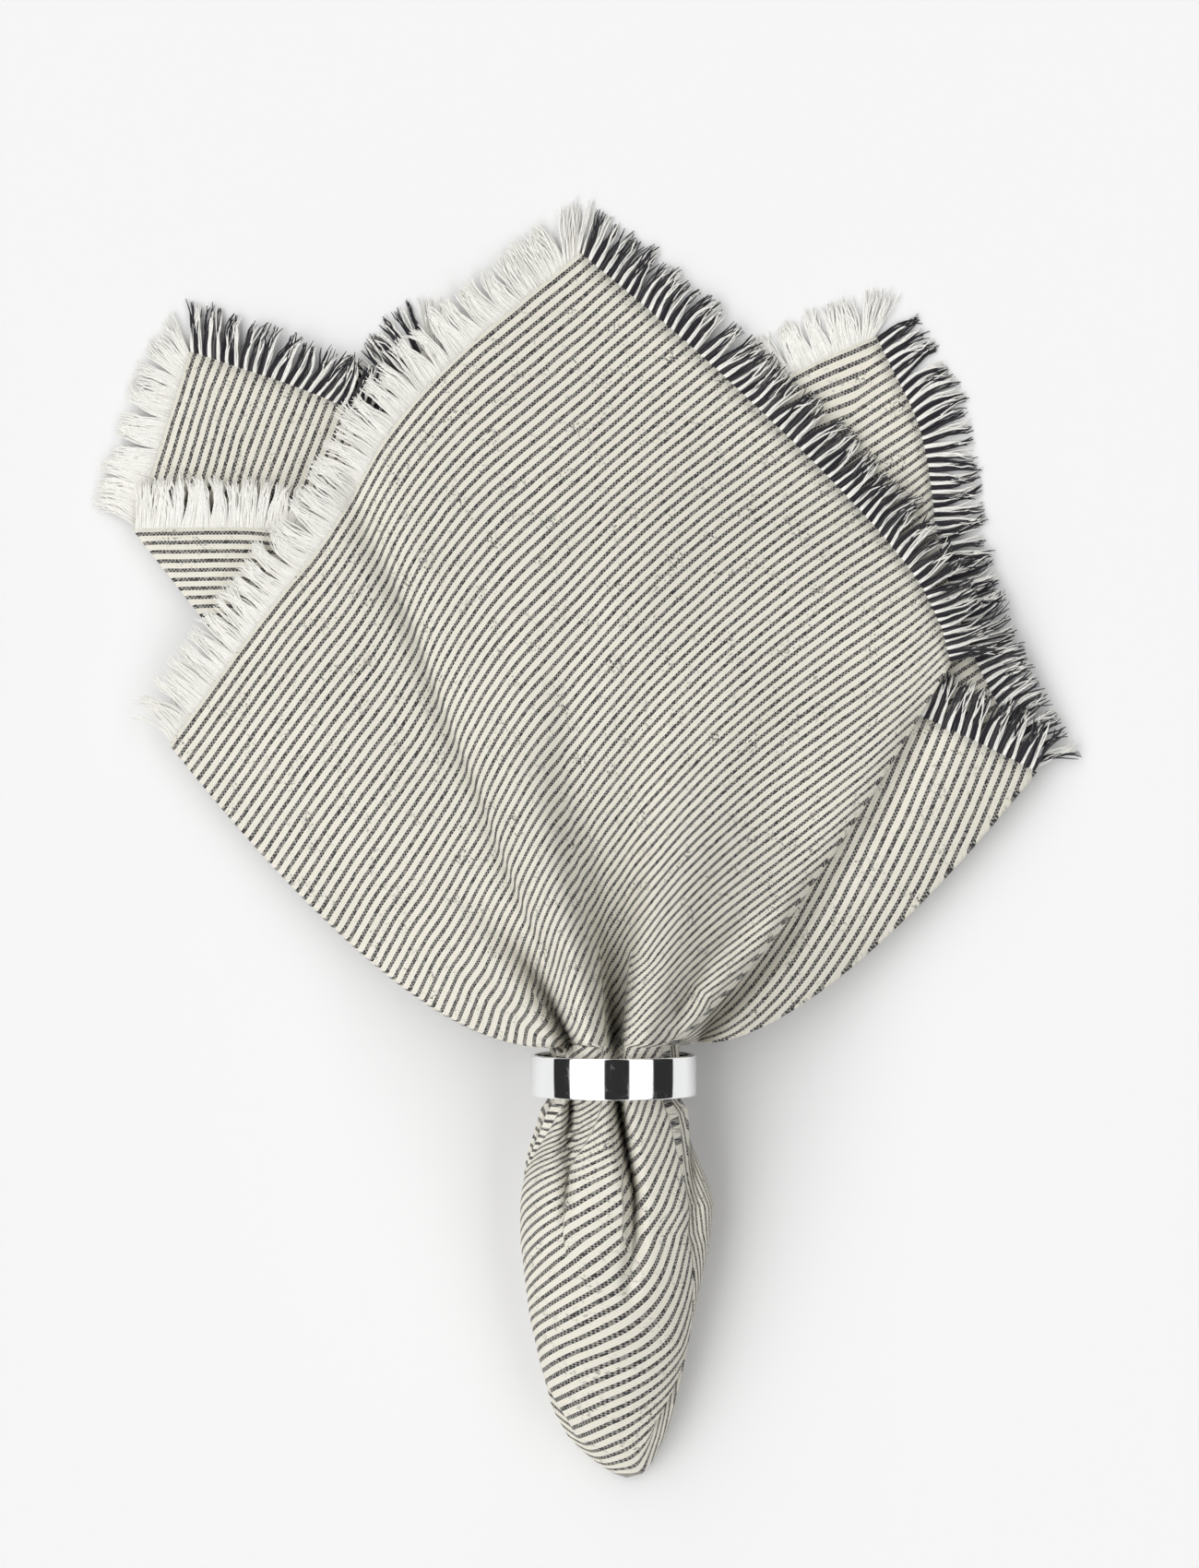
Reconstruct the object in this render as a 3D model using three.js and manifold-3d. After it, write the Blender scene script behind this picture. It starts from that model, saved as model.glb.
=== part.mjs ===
import * as THREE from 'three';
import { mergeVertices } from 'three/addons/utils/BufferGeometryUtils.js';
import Module from 'manifold-3d';

const wasm = await Module();
wasm.setup();

// Driving sizes in millimetres. The ring's axis is Y, and its middle is at X 0, Y 0.
const NAPKIN_SIDE = 440;
const CLOTH = 1;
const FRINGE = 12;
const RING_RADIUS = 21.4;
const RING_WALL = 1.2;
const RING_BAND = 10.5;
const RING_SIDES = 56;
const RING_CHAMFER = 0.3;
const GATHER_RADIUS = 16.6;
const GATHER_HEIGHT = 19;
const TAIL_TIP_Y = -105.5;
const TAIL_TIP_X = 3.5;
const MOUTH_Y = 8;
const LAYERS = 8;
const LAYER_PITCH = 2.1;

// The cloth leaves the ring as a stack of layers. Each row is one layer from fold to fold, in the
// order in which the hem runs round the napkin. level is its place in the stack, 0 on the table.
// Each ray row holds: hem, how far along the hem in sides from the front corner; across, where the
// ray passes through the ring, from -1 on the left to 1 on the right; x and y, where it ends at the
// hem; and bow, how much wider than its chord the ray sets out from the ring. step is the share of a
// side between two rays of the sheet, and lockGap the distance between two locks of the fringe.
const RUNS = [
  { name: 'front', level: 7, step: 0.035, lockGap: 6.5, rays: [
    { hem: -0.337, across: 0.98, x: 86.6, y: 105.6, bow: 1.0 },
    { hem: -0.291, across: 0.80, x: 83.0, y: 121.0, bow: 1.0 },
    { hem: -0.247, across: 0.62, x: 72.0, y: 136.3, bow: 1.0 },
    { hem: -0.172, across: 0.38, x: 49.7, y: 160.3, bow: 1.0 },
    { hem: -0.077, across: 0.14, x: 18.6, y: 189.6, bow: 1.0 },
    { hem: 0.000, across: -0.06, x: -8.6, y: 212.4, bow: 1.0 },
    { hem: 0.109, across: -0.32, x: -44.6, y: 182.2, bow: 1.0 },
    { hem: 0.183, across: -0.48, x: -63.8, y: 157.7, bow: 1.1 },
    { hem: 0.220, across: -0.57, x: -69.4, y: 142.6, bow: 1.2 },
    { hem: 0.288, across: -0.75, x: -88.6, y: 119.5, bow: 1.45 },
    { hem: 0.385, across: -1.00, x: -114.7, y: 84.7, bow: 1.83 },
  ] },
  { name: 'left_under', level: 6, step: 0.065, lockGap: 11, rays: [
    { hem: 0.385, across: -1.00, x: -114.7, y: 84.7, bow: 1.83 },
    { hem: 0.645, across: -0.12, x: -16.0, y: 121.0, bow: 1.0 },
  ] },
  { name: 'left_flap', level: 5, step: 0.11, lockGap: 6.5, rays: [
    { hem: 0.645, across: -0.12, x: -16.0, y: 121.0, bow: 1.0 },
    { hem: 0.812, across: -0.70, x: -86.4, y: 140.9, bow: 1.0 },
    { hem: 0.898, across: -1.00, x: -124.3, y: 140.4, bow: 1.05 },
  ] },
  { name: 'back_left', level: 2, step: 0.11, lockGap: 6.5, rays: [
    { hem: 0.898, across: -1.00, x: -124.3, y: 140.4, bow: 1.05 },
    { hem: 1.000, across: -0.76, x: -109.9, y: 186.7, bow: 1.0 },
    { hem: 1.091, across: -0.45, x: -72.0, y: 173.8, bow: 1.0 },
    { hem: 1.480, across: 0.60, x: 72.0, y: 95.8, bow: 1.0 },
  ] },
  { name: 'back_left_under', level: 1, step: 0.11, lockGap: 12, rays: [
    { hem: 1.480, across: 0.60, x: 72.0, y: 95.8, bow: 1.0 },
    { hem: 1.870, across: -1.00, x: -86.0, y: 146.0, bow: 1.0 },
  ] },
  { name: 'back', level: 0, step: 0.11, lockGap: 9, rays: [
    { hem: 1.870, across: -1.00, x: -86.0, y: 146.0, bow: 1.0 },
    { hem: 2.000, across: -0.50, x: -48.2, y: 188.4, bow: 1.0 },
    { hem: 2.364, across: 1.00, x: 74.6, y: 85.0, bow: 1.1 },
  ] },
  { name: 'back_right_under', level: 3, step: 0.11, lockGap: 12, rays: [
    { hem: 2.364, across: 1.00, x: 74.6, y: 85.0, bow: 1.1 },
    { hem: 2.664, across: -0.60, x: -54.5, y: 110.2, bow: 1.0 },
  ] },
  { name: 'back_right', level: 4, step: 0.11, lockGap: 6.5, rays: [
    { hem: 2.664, across: -0.60, x: -54.5, y: 110.2, bow: 1.0 },
    { hem: 2.947, across: 0.45, x: 46.6, y: 181.9, bow: 1.0 },
    { hem: 3.000, across: 0.62, x: 68.4, y: 190.8, bow: 1.0 },
    { hem: 3.080, across: 0.76, x: 84.2, y: 159.1, bow: 1.0 },
    { hem: 3.107, across: 0.80, x: 81.4, y: 147.6, bow: 1.15 },
    { hem: 3.200, across: 0.90, x: 91.9, y: 107.8, bow: 1.4 },
    { hem: 3.277, across: 1.00, x: 109.4, y: 77.5, bow: 1.8 },
  ] },
  { name: 'right_flap', level: 5, step: 0.11, lockGap: 6.5, rays: [
    { hem: 3.277, across: 1.00, x: 109.4, y: 77.5, bow: 1.8 },
    { hem: 3.350, across: 0.72, x: 78.7, y: 92.6, bow: 1.4 },
    { hem: 3.500, across: 0.12, x: 15.6, y: 114.7, bow: 1.0 },
  ] },
  { name: 'right_under', level: 6, step: 0.06, lockGap: 11, rays: [
    { hem: 3.500, across: 0.12, x: 15.6, y: 114.7, bow: 1.0 },
    { hem: 3.663, across: 0.98, x: 86.6, y: 105.6, bow: 1.0 },
  ] },
];

// The tail's outline behind the ring, and how high it stands, seen from the ring back to the tip.
const TAIL = [
  { y: -9, left: -19.6, right: 19.6, high: 38 },
  { y: -22, left: -23.0, right: 23.2, high: 34 },
  { y: -34, left: -24.2, right: 26.2, high: 31 },
  { y: -43, left: -24.2, right: 25.2, high: 29 },
  { y: -62, left: -22.0, right: 21.2, high: 25 },
  { y: -75, left: -19.2, right: 18.7, high: 21.5 },
  { y: -87, left: -16.0, right: 16.2, high: 17 },
  { y: -94, left: -12.2, right: 13.9, high: 13.5 },
  { y: -99, left: -7.6, right: 11.6, high: 10 },
  { y: -103, left: -2.6, right: 9.6, high: 6 },
];

// Troughs pressed into the gathers: start and end points, half-widths there, and depths as a share
// of the height.
const TROUGHS = [
  { x: 0, y: 14, toX: 0, toY: 70, wide: 3.5, toWide: 11, deep: 0.42, toDeep: 0.1 },
  { x: -13, y: 14, toX: -35, toY: 44, wide: 2.5, toWide: 6, deep: 0.26, toDeep: 0.05 },
  { x: 20, y: 14, toX: 60, toY: 72, wide: 3, toWide: 8, deep: 0.2, toDeep: 0.1 },
  { x: 2, y: -10, toX: 3, toY: -44, wide: 2.6, toWide: 2.6, deep: 0.4, toDeep: 0.2 },
  { x: -10, y: -10, toX: -12.5, toY: -32, wide: 2, toWide: 2, deep: 0.24, toDeep: 0.06 },
  { x: 18.5, y: -10, toX: 20, toY: -46, wide: 2, toWide: 2.4, deep: 0.2, toDeep: 0.1 },
];

const TAIL_STATIONS = [-104.2, -99, -93.5, -85, -73, -61, -48, -35, -23, -14, -9, -5.6];
const RING_STATIONS = [0, MOUTH_Y];
const FAN_STATIONS = [0.06, 0.14, 0.24, 0.35, 0.46, 0.56, 0.66, 0.76, 0.85, 0.93, 1];
const FOLD_WIDTH = 5.3 / NAPKIN_SIDE;
const FOLD_TURNS = [45, 90, 135];
const CONTROL = 0.29;
const FAN_DROP = 75;
const ROUND_START = -12;
const PLATEAU = 2;
const SPREAD = 48;

const clamp = THREE.MathUtils.clamp;
const lerp = THREE.MathUtils.lerp;
const radians = THREE.MathUtils.degToRad;
const smooth = (value, low, high) => THREE.MathUtils.smoothstep(value, low, high);

// A row between two table rows, with every number mixed by the same share.
function mixRows(a, b, share) {
  const row = {};
  for (const key of Object.keys(a)) row[key] = lerp(a[key], b[key], share);
  return row;
}

// The row at one value of a column, along a table that rises or falls in that column.
function rowAt(rows, column, value) {
  for (let i = 1; i < rows.length; i += 1) {
    const share = (value - rows[i - 1][column]) / (rows[i][column] - rows[i - 1][column]);
    if (share <= 1 || i === rows.length - 1) return mixRows(rows[i - 1], rows[i], clamp(share, 0, 1));
  }
  return rows[0];
}

// The plan direction, in degrees from +X, from the ring's mouth to a ray's end at the hem.
function chordOf(ray, startX) {
  const dx = ray.x - startX;
  const dy = ray.y - MOUTH_Y;
  return { length: Math.hypot(dx, dy), angle: Math.atan2(dy, dx) * 180 / Math.PI };
}

// A place in the round bundle inside the ring: the stack's square is pulled out to a unit disc.
function discPlace(across, level) {
  const up = 0.96 * (2 * level / (LAYERS - 1) - 1);
  return { x: across * Math.sqrt(1 - up * up / 2), z: up * Math.sqrt(1 - across * across / 2) };
}

// A ray's plan position over the fan, share 0 at the ring's mouth and 1 at the hem: a quadratic curve
// that sets out at bow times its chord's lean from the middle line.
function fanPlan(ray, share) {
  const startX = GATHER_RADIUS * 1.08 * discPlace(ray.across, ray.level).x;
  const chord = chordOf(ray, startX);
  const start = radians(90 + ray.bow * (chord.angle - 90));
  const end = radians(chord.angle);
  const reach = 2 * share * (1 - share) * CONTROL * chord.length;
  const far = share * share * chord.length;
  return {
    x: startX + reach * Math.cos(start) + far * Math.cos(end),
    y: MOUTH_Y + reach * Math.sin(start) + far * Math.sin(end),
  };
}

// The plan outline of one layer: up its first ray, along its hem and back down its last ray.
function layerOutline(run) {
  const shares = [0, 0.1, 0.25, 0.5, 0.75];
  const first = run.rays[0];
  const last = run.rays[run.rays.length - 1];
  const up = shares.map((share) => fanPlan({ ...first, level: run.level }, share));
  const down = shares.map((share) => fanPlan({ ...last, level: run.level }, share)).reverse();
  return [...up, ...run.rays.map((ray) => ({ x: ray.x, y: ray.y })), ...down];
}

// The distance of a plan point outside an outline, or 0 inside it.
function distanceOutside(outline, x, y) {
  let inside = false;
  let nearest = Infinity;
  for (let i = 0, j = outline.length - 1; i < outline.length; j = i, i += 1) {
    const a = outline[j];
    const b = outline[i];
    const length2 = (b.x - a.x) ** 2 + (b.y - a.y) ** 2;
    const share = clamp(((x - a.x) * (b.x - a.x) + (y - a.y) * (b.y - a.y)) / length2, 0, 1);
    nearest = Math.min(nearest, Math.hypot(x - lerp(a.x, b.x, share), y - lerp(a.y, b.y, share)));
    if ((a.y > y) !== (b.y > y) && x < a.x + (y - a.y) * (b.x - a.x) / (b.y - a.y)) inside = !inside;
  }
  return inside ? 0 : nearest;
}

const LAYER_OUTLINES = RUNS.map((run) => ({ level: run.level, outline: layerOutline(run) }));

// The height at which a layer lies over the fan: one pitch up for each lower layer beneath it, with
// a slope down past that layer's fringe.
function fanHeight(level, x, y) {
  let height = CLOTH / 2;
  for (const lower of LAYER_OUTLINES) {
    if (lower.level >= level) continue;
    const outside = distanceOutside(lower.outline, x, y);
    height += LAYER_PITCH * (1 - smooth(outside, FRINGE + PLATEAU, FRINGE + SPREAD));
  }
  return height;
}

// How far the troughs press the gathers down at a plan point, as a share of the height there.
function troughDepth(x, y) {
  let kept = 1;
  for (const row of TROUGHS) {
    const dx = row.toX - row.x;
    const dy = row.toY - row.y;
    const along = ((x - row.x) * dx + (y - row.y) * dy) / (dx * dx + dy * dy);
    const share = clamp(along, 0, 1);
    const off = Math.hypot(x - row.x - share * dx, y - row.y - share * dy);
    const wide = lerp(row.wide, row.toWide, share);
    kept *= 1 - lerp(row.deep, row.toDeep, share) * Math.exp(-((off / wide) ** 2));
  }
  return 1 - kept;
}

// The height of a fan point: the ring's bundle sinks to the flat stack with distance from the mouth.
function heightOverFan(ray, level, x, y) {
  const bundle = RING_RADIUS + GATHER_HEIGHT * discPlace(ray.across, level).z;
  const fallen = smooth(Math.hypot(x, y - MOUTH_Y), 0, FAN_DROP);
  const height = lerp(bundle, fanHeight(level, x, y), fallen);
  return CLOTH / 2 + (height - CLOTH / 2) * (1 - troughDepth(x, y));
}

// The tail's section at one distance behind the ring's mouth: middle, half-width and half-height.
function tailSection(y) {
  const inRing = smooth(y, TAIL[0].y, -RING_BAND / 2);
  const row = rowAt(TAIL, 'y', y);
  const toTip = clamp((y - TAIL_TIP_Y) / (TAIL[TAIL.length - 1].y - TAIL_TIP_Y), 0, 1);
  const taper = Math.sqrt(toTip);
  const middle = lerp(TAIL_TIP_X, (row.left + row.right) / 2, toTip);
  const half = taper * ((row.right - row.left) / 2 - CLOTH);
  const halfHigh = taper * (row.high / 2);
  return {
    x: lerp(middle, 0, inRing),
    wide: lerp(half, GATHER_RADIUS, inRing),
    z: lerp(halfHigh + 0.3, RING_RADIUS, inRing),
    high: lerp(halfHigh, GATHER_HEIGHT, inRing),
  };
}

// A point of the tail: folded as in the ring at its root, and opening to a plain round pouch at the
// tip, where each ray lies at its own angle round the napkin's middle.
function tailPoint(ray, level, y) {
  const folded = discPlace(ray.across, level);
  const turn = radians(90 + 90 * ray.hem);
  const opened = Math.pow(clamp((ROUND_START - y) / (ROUND_START - TAIL_TIP_Y), 0, 1), 1.2);
  const section = tailSection(y);
  const x = section.x + section.wide * lerp(folded.x, Math.cos(turn), opened);
  const raised = section.z + section.high * lerp(folded.z, Math.sin(turn), opened);
  const z = CLOTH / 2 + (raised - CLOTH / 2) * (1 - troughDepth(x, y));
  return new THREE.Vector3(x, y, Math.max(z, CLOTH / 2));
}

function fanPoint(ray, level, share) {
  const plan = fanPlan(ray, share);
  return new THREE.Vector3(plan.x, plan.y, heightOverFan(ray, level, plan.x, plan.y));
}

// The station list runs from the tail's tip through the ring and over the fan to the hem.
const STATIONS = [
  ...[...TAIL_STATIONS, ...RING_STATIONS].map((y) => ({ y })),
  ...FAN_STATIONS.map((share) => ({ share })),
];

function stationPoint(ray, level, station) {
  if (station.share === undefined) return tailPoint(ray, level, station.y);
  return fanPoint(ray, level, station.share);
}

// A fold between two layers: a half-turn whose rays swing out past the layers' common edge.
function foldPoint(ray, station) {
  const above = stationPoint(ray, ray.level, station);
  const below = stationPoint(ray, ray.nextLevel, station);
  const turn = radians(ray.turn);
  const point = above.clone().lerp(below, (1 - Math.cos(turn)) / 2);
  const swing = Math.min(Math.abs(above.z - below.z) / 2, 2) * Math.sin(turn) * ray.side;
  const ahead = station.share === undefined ? 0 : station.share;
  const lean = radians(chordOf(ray, 0).angle);
  point.x += swing * lerp(1, Math.abs(Math.sin(lean)), ahead);
  point.y -= swing * Math.cos(lean) * ahead * Math.sign(Math.sin(lean));
  return point;
}

function rayAt(run, hem) {
  return { ...rowAt(run.rays, 'hem', hem), hem, level: run.level };
}

// Where a layer's rays end along the hem: at each table row, and evenly between two rows. The first
// and last stop are drawn in from the folds.
function hemStops(run, drawnIn) {
  const stops = [run.rays[0].hem + drawnIn];
  for (let i = 1; i < run.rays.length; i += 1) {
    const from = run.rays[i - 1].hem;
    const to = run.rays[i].hem;
    const count = Math.max(1, Math.round((to - from) / run.step));
    for (let k = 1; k <= count; k += 1) stops.push(lerp(from, to, k / count));
  }
  stops[stops.length - 1] -= drawnIn;
  return stops;
}

// All rays in order round the napkin, each layer's own and the turns of the fold after it.
function clothRays() {
  const rays = [];
  RUNS.forEach((run, index) => {
    const next = RUNS[(index + 1) % RUNS.length];
    for (const hem of hemStops(run, FOLD_WIDTH / 2)) rays.push(rayAt(run, hem));
    const edge = run.rays[run.rays.length - 1];
    const inward = Math.sign(edge.across - run.rays[0].across) || 1;
    for (const turn of FOLD_TURNS) {
      const hem = edge.hem + FOLD_WIDTH * (turn - 90) / 180;
      rays.push({ ...edge, hem, level: run.level, nextLevel: next.level, turn, side: inward });
    }
  });
  return rays;
}

function meshOf(name, positions, triangles, material) {
  const geometry = new THREE.BufferGeometry();
  geometry.setAttribute('position', new THREE.Float32BufferAttribute(positions, 3));
  geometry.setIndex(triangles);
  geometry.computeVertexNormals();
  const mesh = new THREE.Mesh(geometry, material);
  mesh.name = name;
  return mesh;
}

// The napkin: a grid of rays and stations given its thickness, closed along the hem and at the tip.
function napkin(material) {
  const rays = clothRays();
  const grid = rays.map((ray) => STATIONS.map((station) => (
    ray.turn === undefined ? stationPoint(ray, ray.level, station) : foldPoint(ray, station))));
  const rayCount = rays.length;
  const last = STATIONS.length - 1;
  const tip = new THREE.Vector3(TAIL_TIP_X, TAIL_TIP_Y, grid[0][0].z);
  tip.z = grid.reduce((sum, line) => sum + line[0].z, 0) / rayCount;
  const skins = [[], []];
  for (let i = 0; i < rayCount; i += 1) {
    for (let j = 0; j <= last; j += 1) {
      const round = grid[(i + 1) % rayCount][j].clone().sub(grid[(i + rayCount - 1) % rayCount][j]);
      const along = grid[i][Math.min(j + 1, last)].clone().sub(j === 0 ? tip : grid[i][j - 1]);
      const normal = round.cross(along).normalize();
      for (const [skin, sign] of [[0, 0.5], [1, -0.5]]) {
        const point = grid[i][j].clone().addScaledVector(normal, sign * CLOTH);
        if (point.z < 0.12) point.z = 0;
        skins[skin].push(point.x, point.y, point.z);
      }
    }
  }
  const skinSize = rayCount * (last + 1);
  const positions = [...skins[0], ...skins[1],
    tip.x, tip.y - CLOTH / 2, tip.z, tip.x, tip.y + CLOTH / 2, tip.z];
  const triangles = [];
  for (let i = 0; i < rayCount; i += 1) {
    const a = i * (last + 1);
    const b = ((i + 1) % rayCount) * (last + 1);
    for (let j = 0; j < last; j += 1) {
      triangles.push(a + j, b + j, b + j + 1, a + j, b + j + 1, a + j + 1);
      triangles.push(skinSize + a + j, skinSize + b + j + 1, skinSize + b + j);
      triangles.push(skinSize + a + j, skinSize + a + j + 1, skinSize + b + j + 1);
    }
    triangles.push(a + last, b + last, skinSize + b + last);
    triangles.push(a + last, skinSize + b + last, skinSize + a + last);
    triangles.push(2 * skinSize, b, a, 2 * skinSize + 1, skinSize + a, skinSize + b);
  }
  return meshOf('napkin', positions, triangles, material);
}

// The ring: a plain band with small chamfers, turned on the Y axis, with one flat side down.
function ring(material) {
  const half = RING_BAND / 2;
  const inner = RING_RADIUS - RING_WALL;
  const outline = [
    [inner, -half + RING_CHAMFER], [inner + RING_CHAMFER, -half], [RING_RADIUS - RING_CHAMFER, -half],
    [RING_RADIUS, -half + RING_CHAMFER], [RING_RADIUS, half - RING_CHAMFER],
    [RING_RADIUS - RING_CHAMFER, half], [inner + RING_CHAMFER, half], [inner, half - RING_CHAMFER],
    [inner, -half + RING_CHAMFER],
  ].map(([radius, y]) => new THREE.Vector2(radius, y));
  const band = new THREE.LatheGeometry(outline, RING_SIDES);
  band.deleteAttribute('normal');
  band.deleteAttribute('uv');
  const merged = mergeVertices(band, 1e-4);
  merged.rotateY(Math.PI / RING_SIDES);
  merged.translate(0, 0, RING_RADIUS * Math.cos(Math.PI / RING_SIDES));
  merged.computeVertexNormals();
  const mesh = new THREE.Mesh(merged, material);
  mesh.name = 'ring';
  return mesh;
}

const STRIP_GAP = 0.5;
const LOCK_WIDTHS = { root: 2.2, belly: 4.2, tip: 2 };
const LOCK_HEIGHT = 1;
const STRIP_WIDTH = 1.6;
const LOCK_LEAN = 14;

// A repeatable stream of numbers from 0 to 1.
function chanceStream(seed) {
  let state = seed;
  return () => {
    state = (state * 1664525 + 1013904223) % 4294967296;
    return state / 4294967296;
  };
}

function solidOf(points, triangles) {
  const mesh = new wasm.Mesh({
    numProp: 3,
    vertProperties: Float32Array.from(points.flat()),
    triVerts: Uint32Array.from(triangles.flat()),
  });
  return new wasm.Manifold(mesh);
}

// A closed solid carried through a list of sections, each the same number of corner points.
function sweep(sections) {
  const corners = sections[0].length;
  const triangles = [];
  for (let s = 0; s + 1 < sections.length; s += 1) {
    for (let c = 0; c < corners; c += 1) {
      const a = s * corners + c;
      const b = s * corners + (c + 1) % corners;
      triangles.push([a, b, b + corners], [a, b + corners, a + corners]);
    }
  }
  const end = (sections.length - 1) * corners;
  for (let c = 1; c + 1 < corners; c += 1) {
    triangles.push([0, c + 1, c], [end, end + c, end + c + 1]);
  }
  return solidOf(sections.flat(), triangles);
}

// A strip's section across its run: four corners, listed so that the sweep's faces point out.
function stripSection(middle, out, halfWidth) {
  return [[-1, -0.5], [-1, 0.5], [1, 0.5], [1, -0.5]].map(([side, up]) => [
    middle.x + side * halfWidth * out.x, middle.y + side * halfWidth * out.y, middle.z + up * CLOTH]);
}

// One lock of yarn ends: a flat-bottomed three-sided taper from the strip out to its tip.
function lockSections(root, out, level, length) {
  return [[0, LOCK_WIDTHS.root], [0.5, LOCK_WIDTHS.belly], [1, LOCK_WIDTHS.tip]].map(([share, width]) => {
    const x = root.x + out.x * length * share;
    const y = root.y + out.y * length * share;
    const low = share === 0 ? root.z - CLOTH / 2 + 0.1 : fanHeight(level, x, y) - CLOTH / 2;
    const half = width / 2;
    const high = low + LOCK_HEIGHT * lerp(0.8, 0.5, share);
    const side = { x: out.y * half, y: -out.x * half };
    return [[x - side.x, y - side.y, low], [x, y, high], [x + side.x, y + side.y, low]];
  });
}

// The sides of the napkin along which a layer's hem runs: one, or two where it turns a corner. The
// weft ends stand on the first and third side and are cream, the warp ends on the others are mixed.
function hemSides(run) {
  const first = run.rays[0].hem;
  const last = run.rays[run.rays.length - 1].hem;
  const corner = Math.ceil(first);
  const ranges = corner < last ? [[first, corner], [corner, last]] : [[first, last]];
  return ranges.map(([from, to]) => {
    const side = Math.floor((from + to) / 2);
    return { from, to, tone: side % 2 === 0 ? 'cream' : 'dark' };
  });
}

// The frayed edge of one layer along one side of the napkin: a narrow strip that stands off the hem,
// with its locks fused to it.
function fringe(run, side, seed, material) {
  const chance = chanceStream(seed);
  const stops = hemStops(run, FOLD_WIDTH).filter((hem) => hem >= side.from && hem <= side.to);
  const edge = stops.map((hem) => {
    const ray = rayAt(run, hem);
    const end = fanPoint(ray, run.level, 1);
    const before = fanPoint(ray, run.level, 0.97);
    return { end, out: { x: end.x - before.x, y: end.y - before.y } };
  });
  const places = edge.map((at, i) => {
    const a = edge[Math.max(i - 1, 0)].end;
    const b = edge[Math.min(i + 1, edge.length - 1)].end;
    const length = Math.hypot(b.x - a.x, b.y - a.y);
    let out = { x: (b.y - a.y) / length, y: -(b.x - a.x) / length };
    if (out.x * at.out.x + out.y * at.out.y < 0) out = { x: -out.x, y: -out.y };
    const off = STRIP_GAP + STRIP_WIDTH / 2;
    const middle = { x: at.end.x + out.x * off, y: at.end.y + out.y * off, z: at.end.z };
    return { middle, out };
  });
  const turned = places.length > 1
    && (places[1].middle.x - places[0].middle.x) * places[0].out.y
    - (places[1].middle.y - places[0].middle.y) * places[0].out.x > 0;
  const sections = places.map(({ middle, out }) => stripSection(middle, out, STRIP_WIDTH / 2));
  let solid = sweep(turned ? sections.reverse() : sections);
  for (let i = 0; i + 1 < places.length; i += 1) {
    const a = places[i];
    const b = places[i + 1];
    const stretch = Math.hypot(b.middle.x - a.middle.x, b.middle.y - a.middle.y);
    const locks = Math.max(1, Math.round(stretch / run.lockGap));
    for (let k = 0; k < locks; k += 1) {
      const share = (k + 0.5) / locks;
      const root = {
        x: lerp(a.middle.x, b.middle.x, share),
        y: lerp(a.middle.y, b.middle.y, share),
        z: lerp(a.middle.z, b.middle.z, share),
      };
      const out = Math.atan2(lerp(a.out.y, b.out.y, share), lerp(a.out.x, b.out.x, share));
      const lean = out + radians(LOCK_LEAN * (2 * chance() - 1));
      const direction = { x: Math.cos(lean), y: Math.sin(lean) };
      const length = FRINGE * (0.85 + 0.2 * chance());
      solid = solid.add(sweep(lockSections(root, direction, run.level, length)));
    }
  }
  const mesh = solid.getMesh();
  const name = `fringe_${run.name}_${side.tone}`;
  return meshOf(name, Array.from(mesh.vertProperties), Array.from(mesh.triVerts), material);
}

const cloth = () => new THREE.MeshStandardMaterial({ color: 0xc9c6bd, roughness: 0.9, metalness: 0 });
const yarn = (tone) => new THREE.MeshStandardMaterial({
  color: { cream: 0xf2eee3, dark: 0x4a484c }[tone], roughness: 0.9, metalness: 0 });
const metal = () => new THREE.MeshStandardMaterial({ color: 0xd8d9da, roughness: 0.08, metalness: 1 });

const model = new THREE.Group();
model.add(napkin(cloth()));
model.add(ring(metal()));
RUNS.forEach((run, index) => {
  for (const side of hemSides(run)) model.add(fringe(run, side, index + 1, yarn(side.tone)));
});

// The origin is the middle of the whole object's box, on the table.
const box = new THREE.Box3().setFromObject(model);
model.position.set(-(box.min.x + box.max.x) / 2, -(box.min.y + box.max.y) / 2, 0);

const object = new THREE.Group();
object.add(model);
export default object;
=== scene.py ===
# %% [markdown]
# A cloth napkin gathered through a polished band ring and laid on a table, seen from straight above.
# The frame, in metres, already holds solids for the cloth, the fringe and the ring. This lesson dresses
# them: a fine draped sheet with a woven stripe, several thousand loose yarn ends and a mirror-bright
# band. Each step says first what the real thing is, and then how and why it is made this way.

# %% Load the frame
import bpy
import numpy as np
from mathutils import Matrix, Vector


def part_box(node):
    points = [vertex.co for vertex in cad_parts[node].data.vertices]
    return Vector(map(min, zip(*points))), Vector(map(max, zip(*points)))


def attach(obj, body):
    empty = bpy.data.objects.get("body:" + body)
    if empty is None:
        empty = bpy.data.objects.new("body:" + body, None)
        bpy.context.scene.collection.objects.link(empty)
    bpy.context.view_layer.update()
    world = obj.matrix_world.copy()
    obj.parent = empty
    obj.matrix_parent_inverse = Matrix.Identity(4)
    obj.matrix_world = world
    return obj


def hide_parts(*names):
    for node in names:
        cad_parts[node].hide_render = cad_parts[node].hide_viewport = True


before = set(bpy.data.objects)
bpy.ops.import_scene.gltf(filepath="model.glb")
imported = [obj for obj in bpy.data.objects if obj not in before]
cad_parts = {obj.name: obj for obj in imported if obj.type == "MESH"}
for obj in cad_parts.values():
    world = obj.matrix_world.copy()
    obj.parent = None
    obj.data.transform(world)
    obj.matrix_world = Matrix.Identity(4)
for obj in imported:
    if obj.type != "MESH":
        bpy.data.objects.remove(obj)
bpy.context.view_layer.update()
MM = 0.001
ring_low, ring_high = (np.array(corner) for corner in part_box("ring"))
ring_middle = (ring_low + ring_high) / 2
RING_RADIUS = (ring_high[0] - ring_low[0]) / 2 / MM
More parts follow.
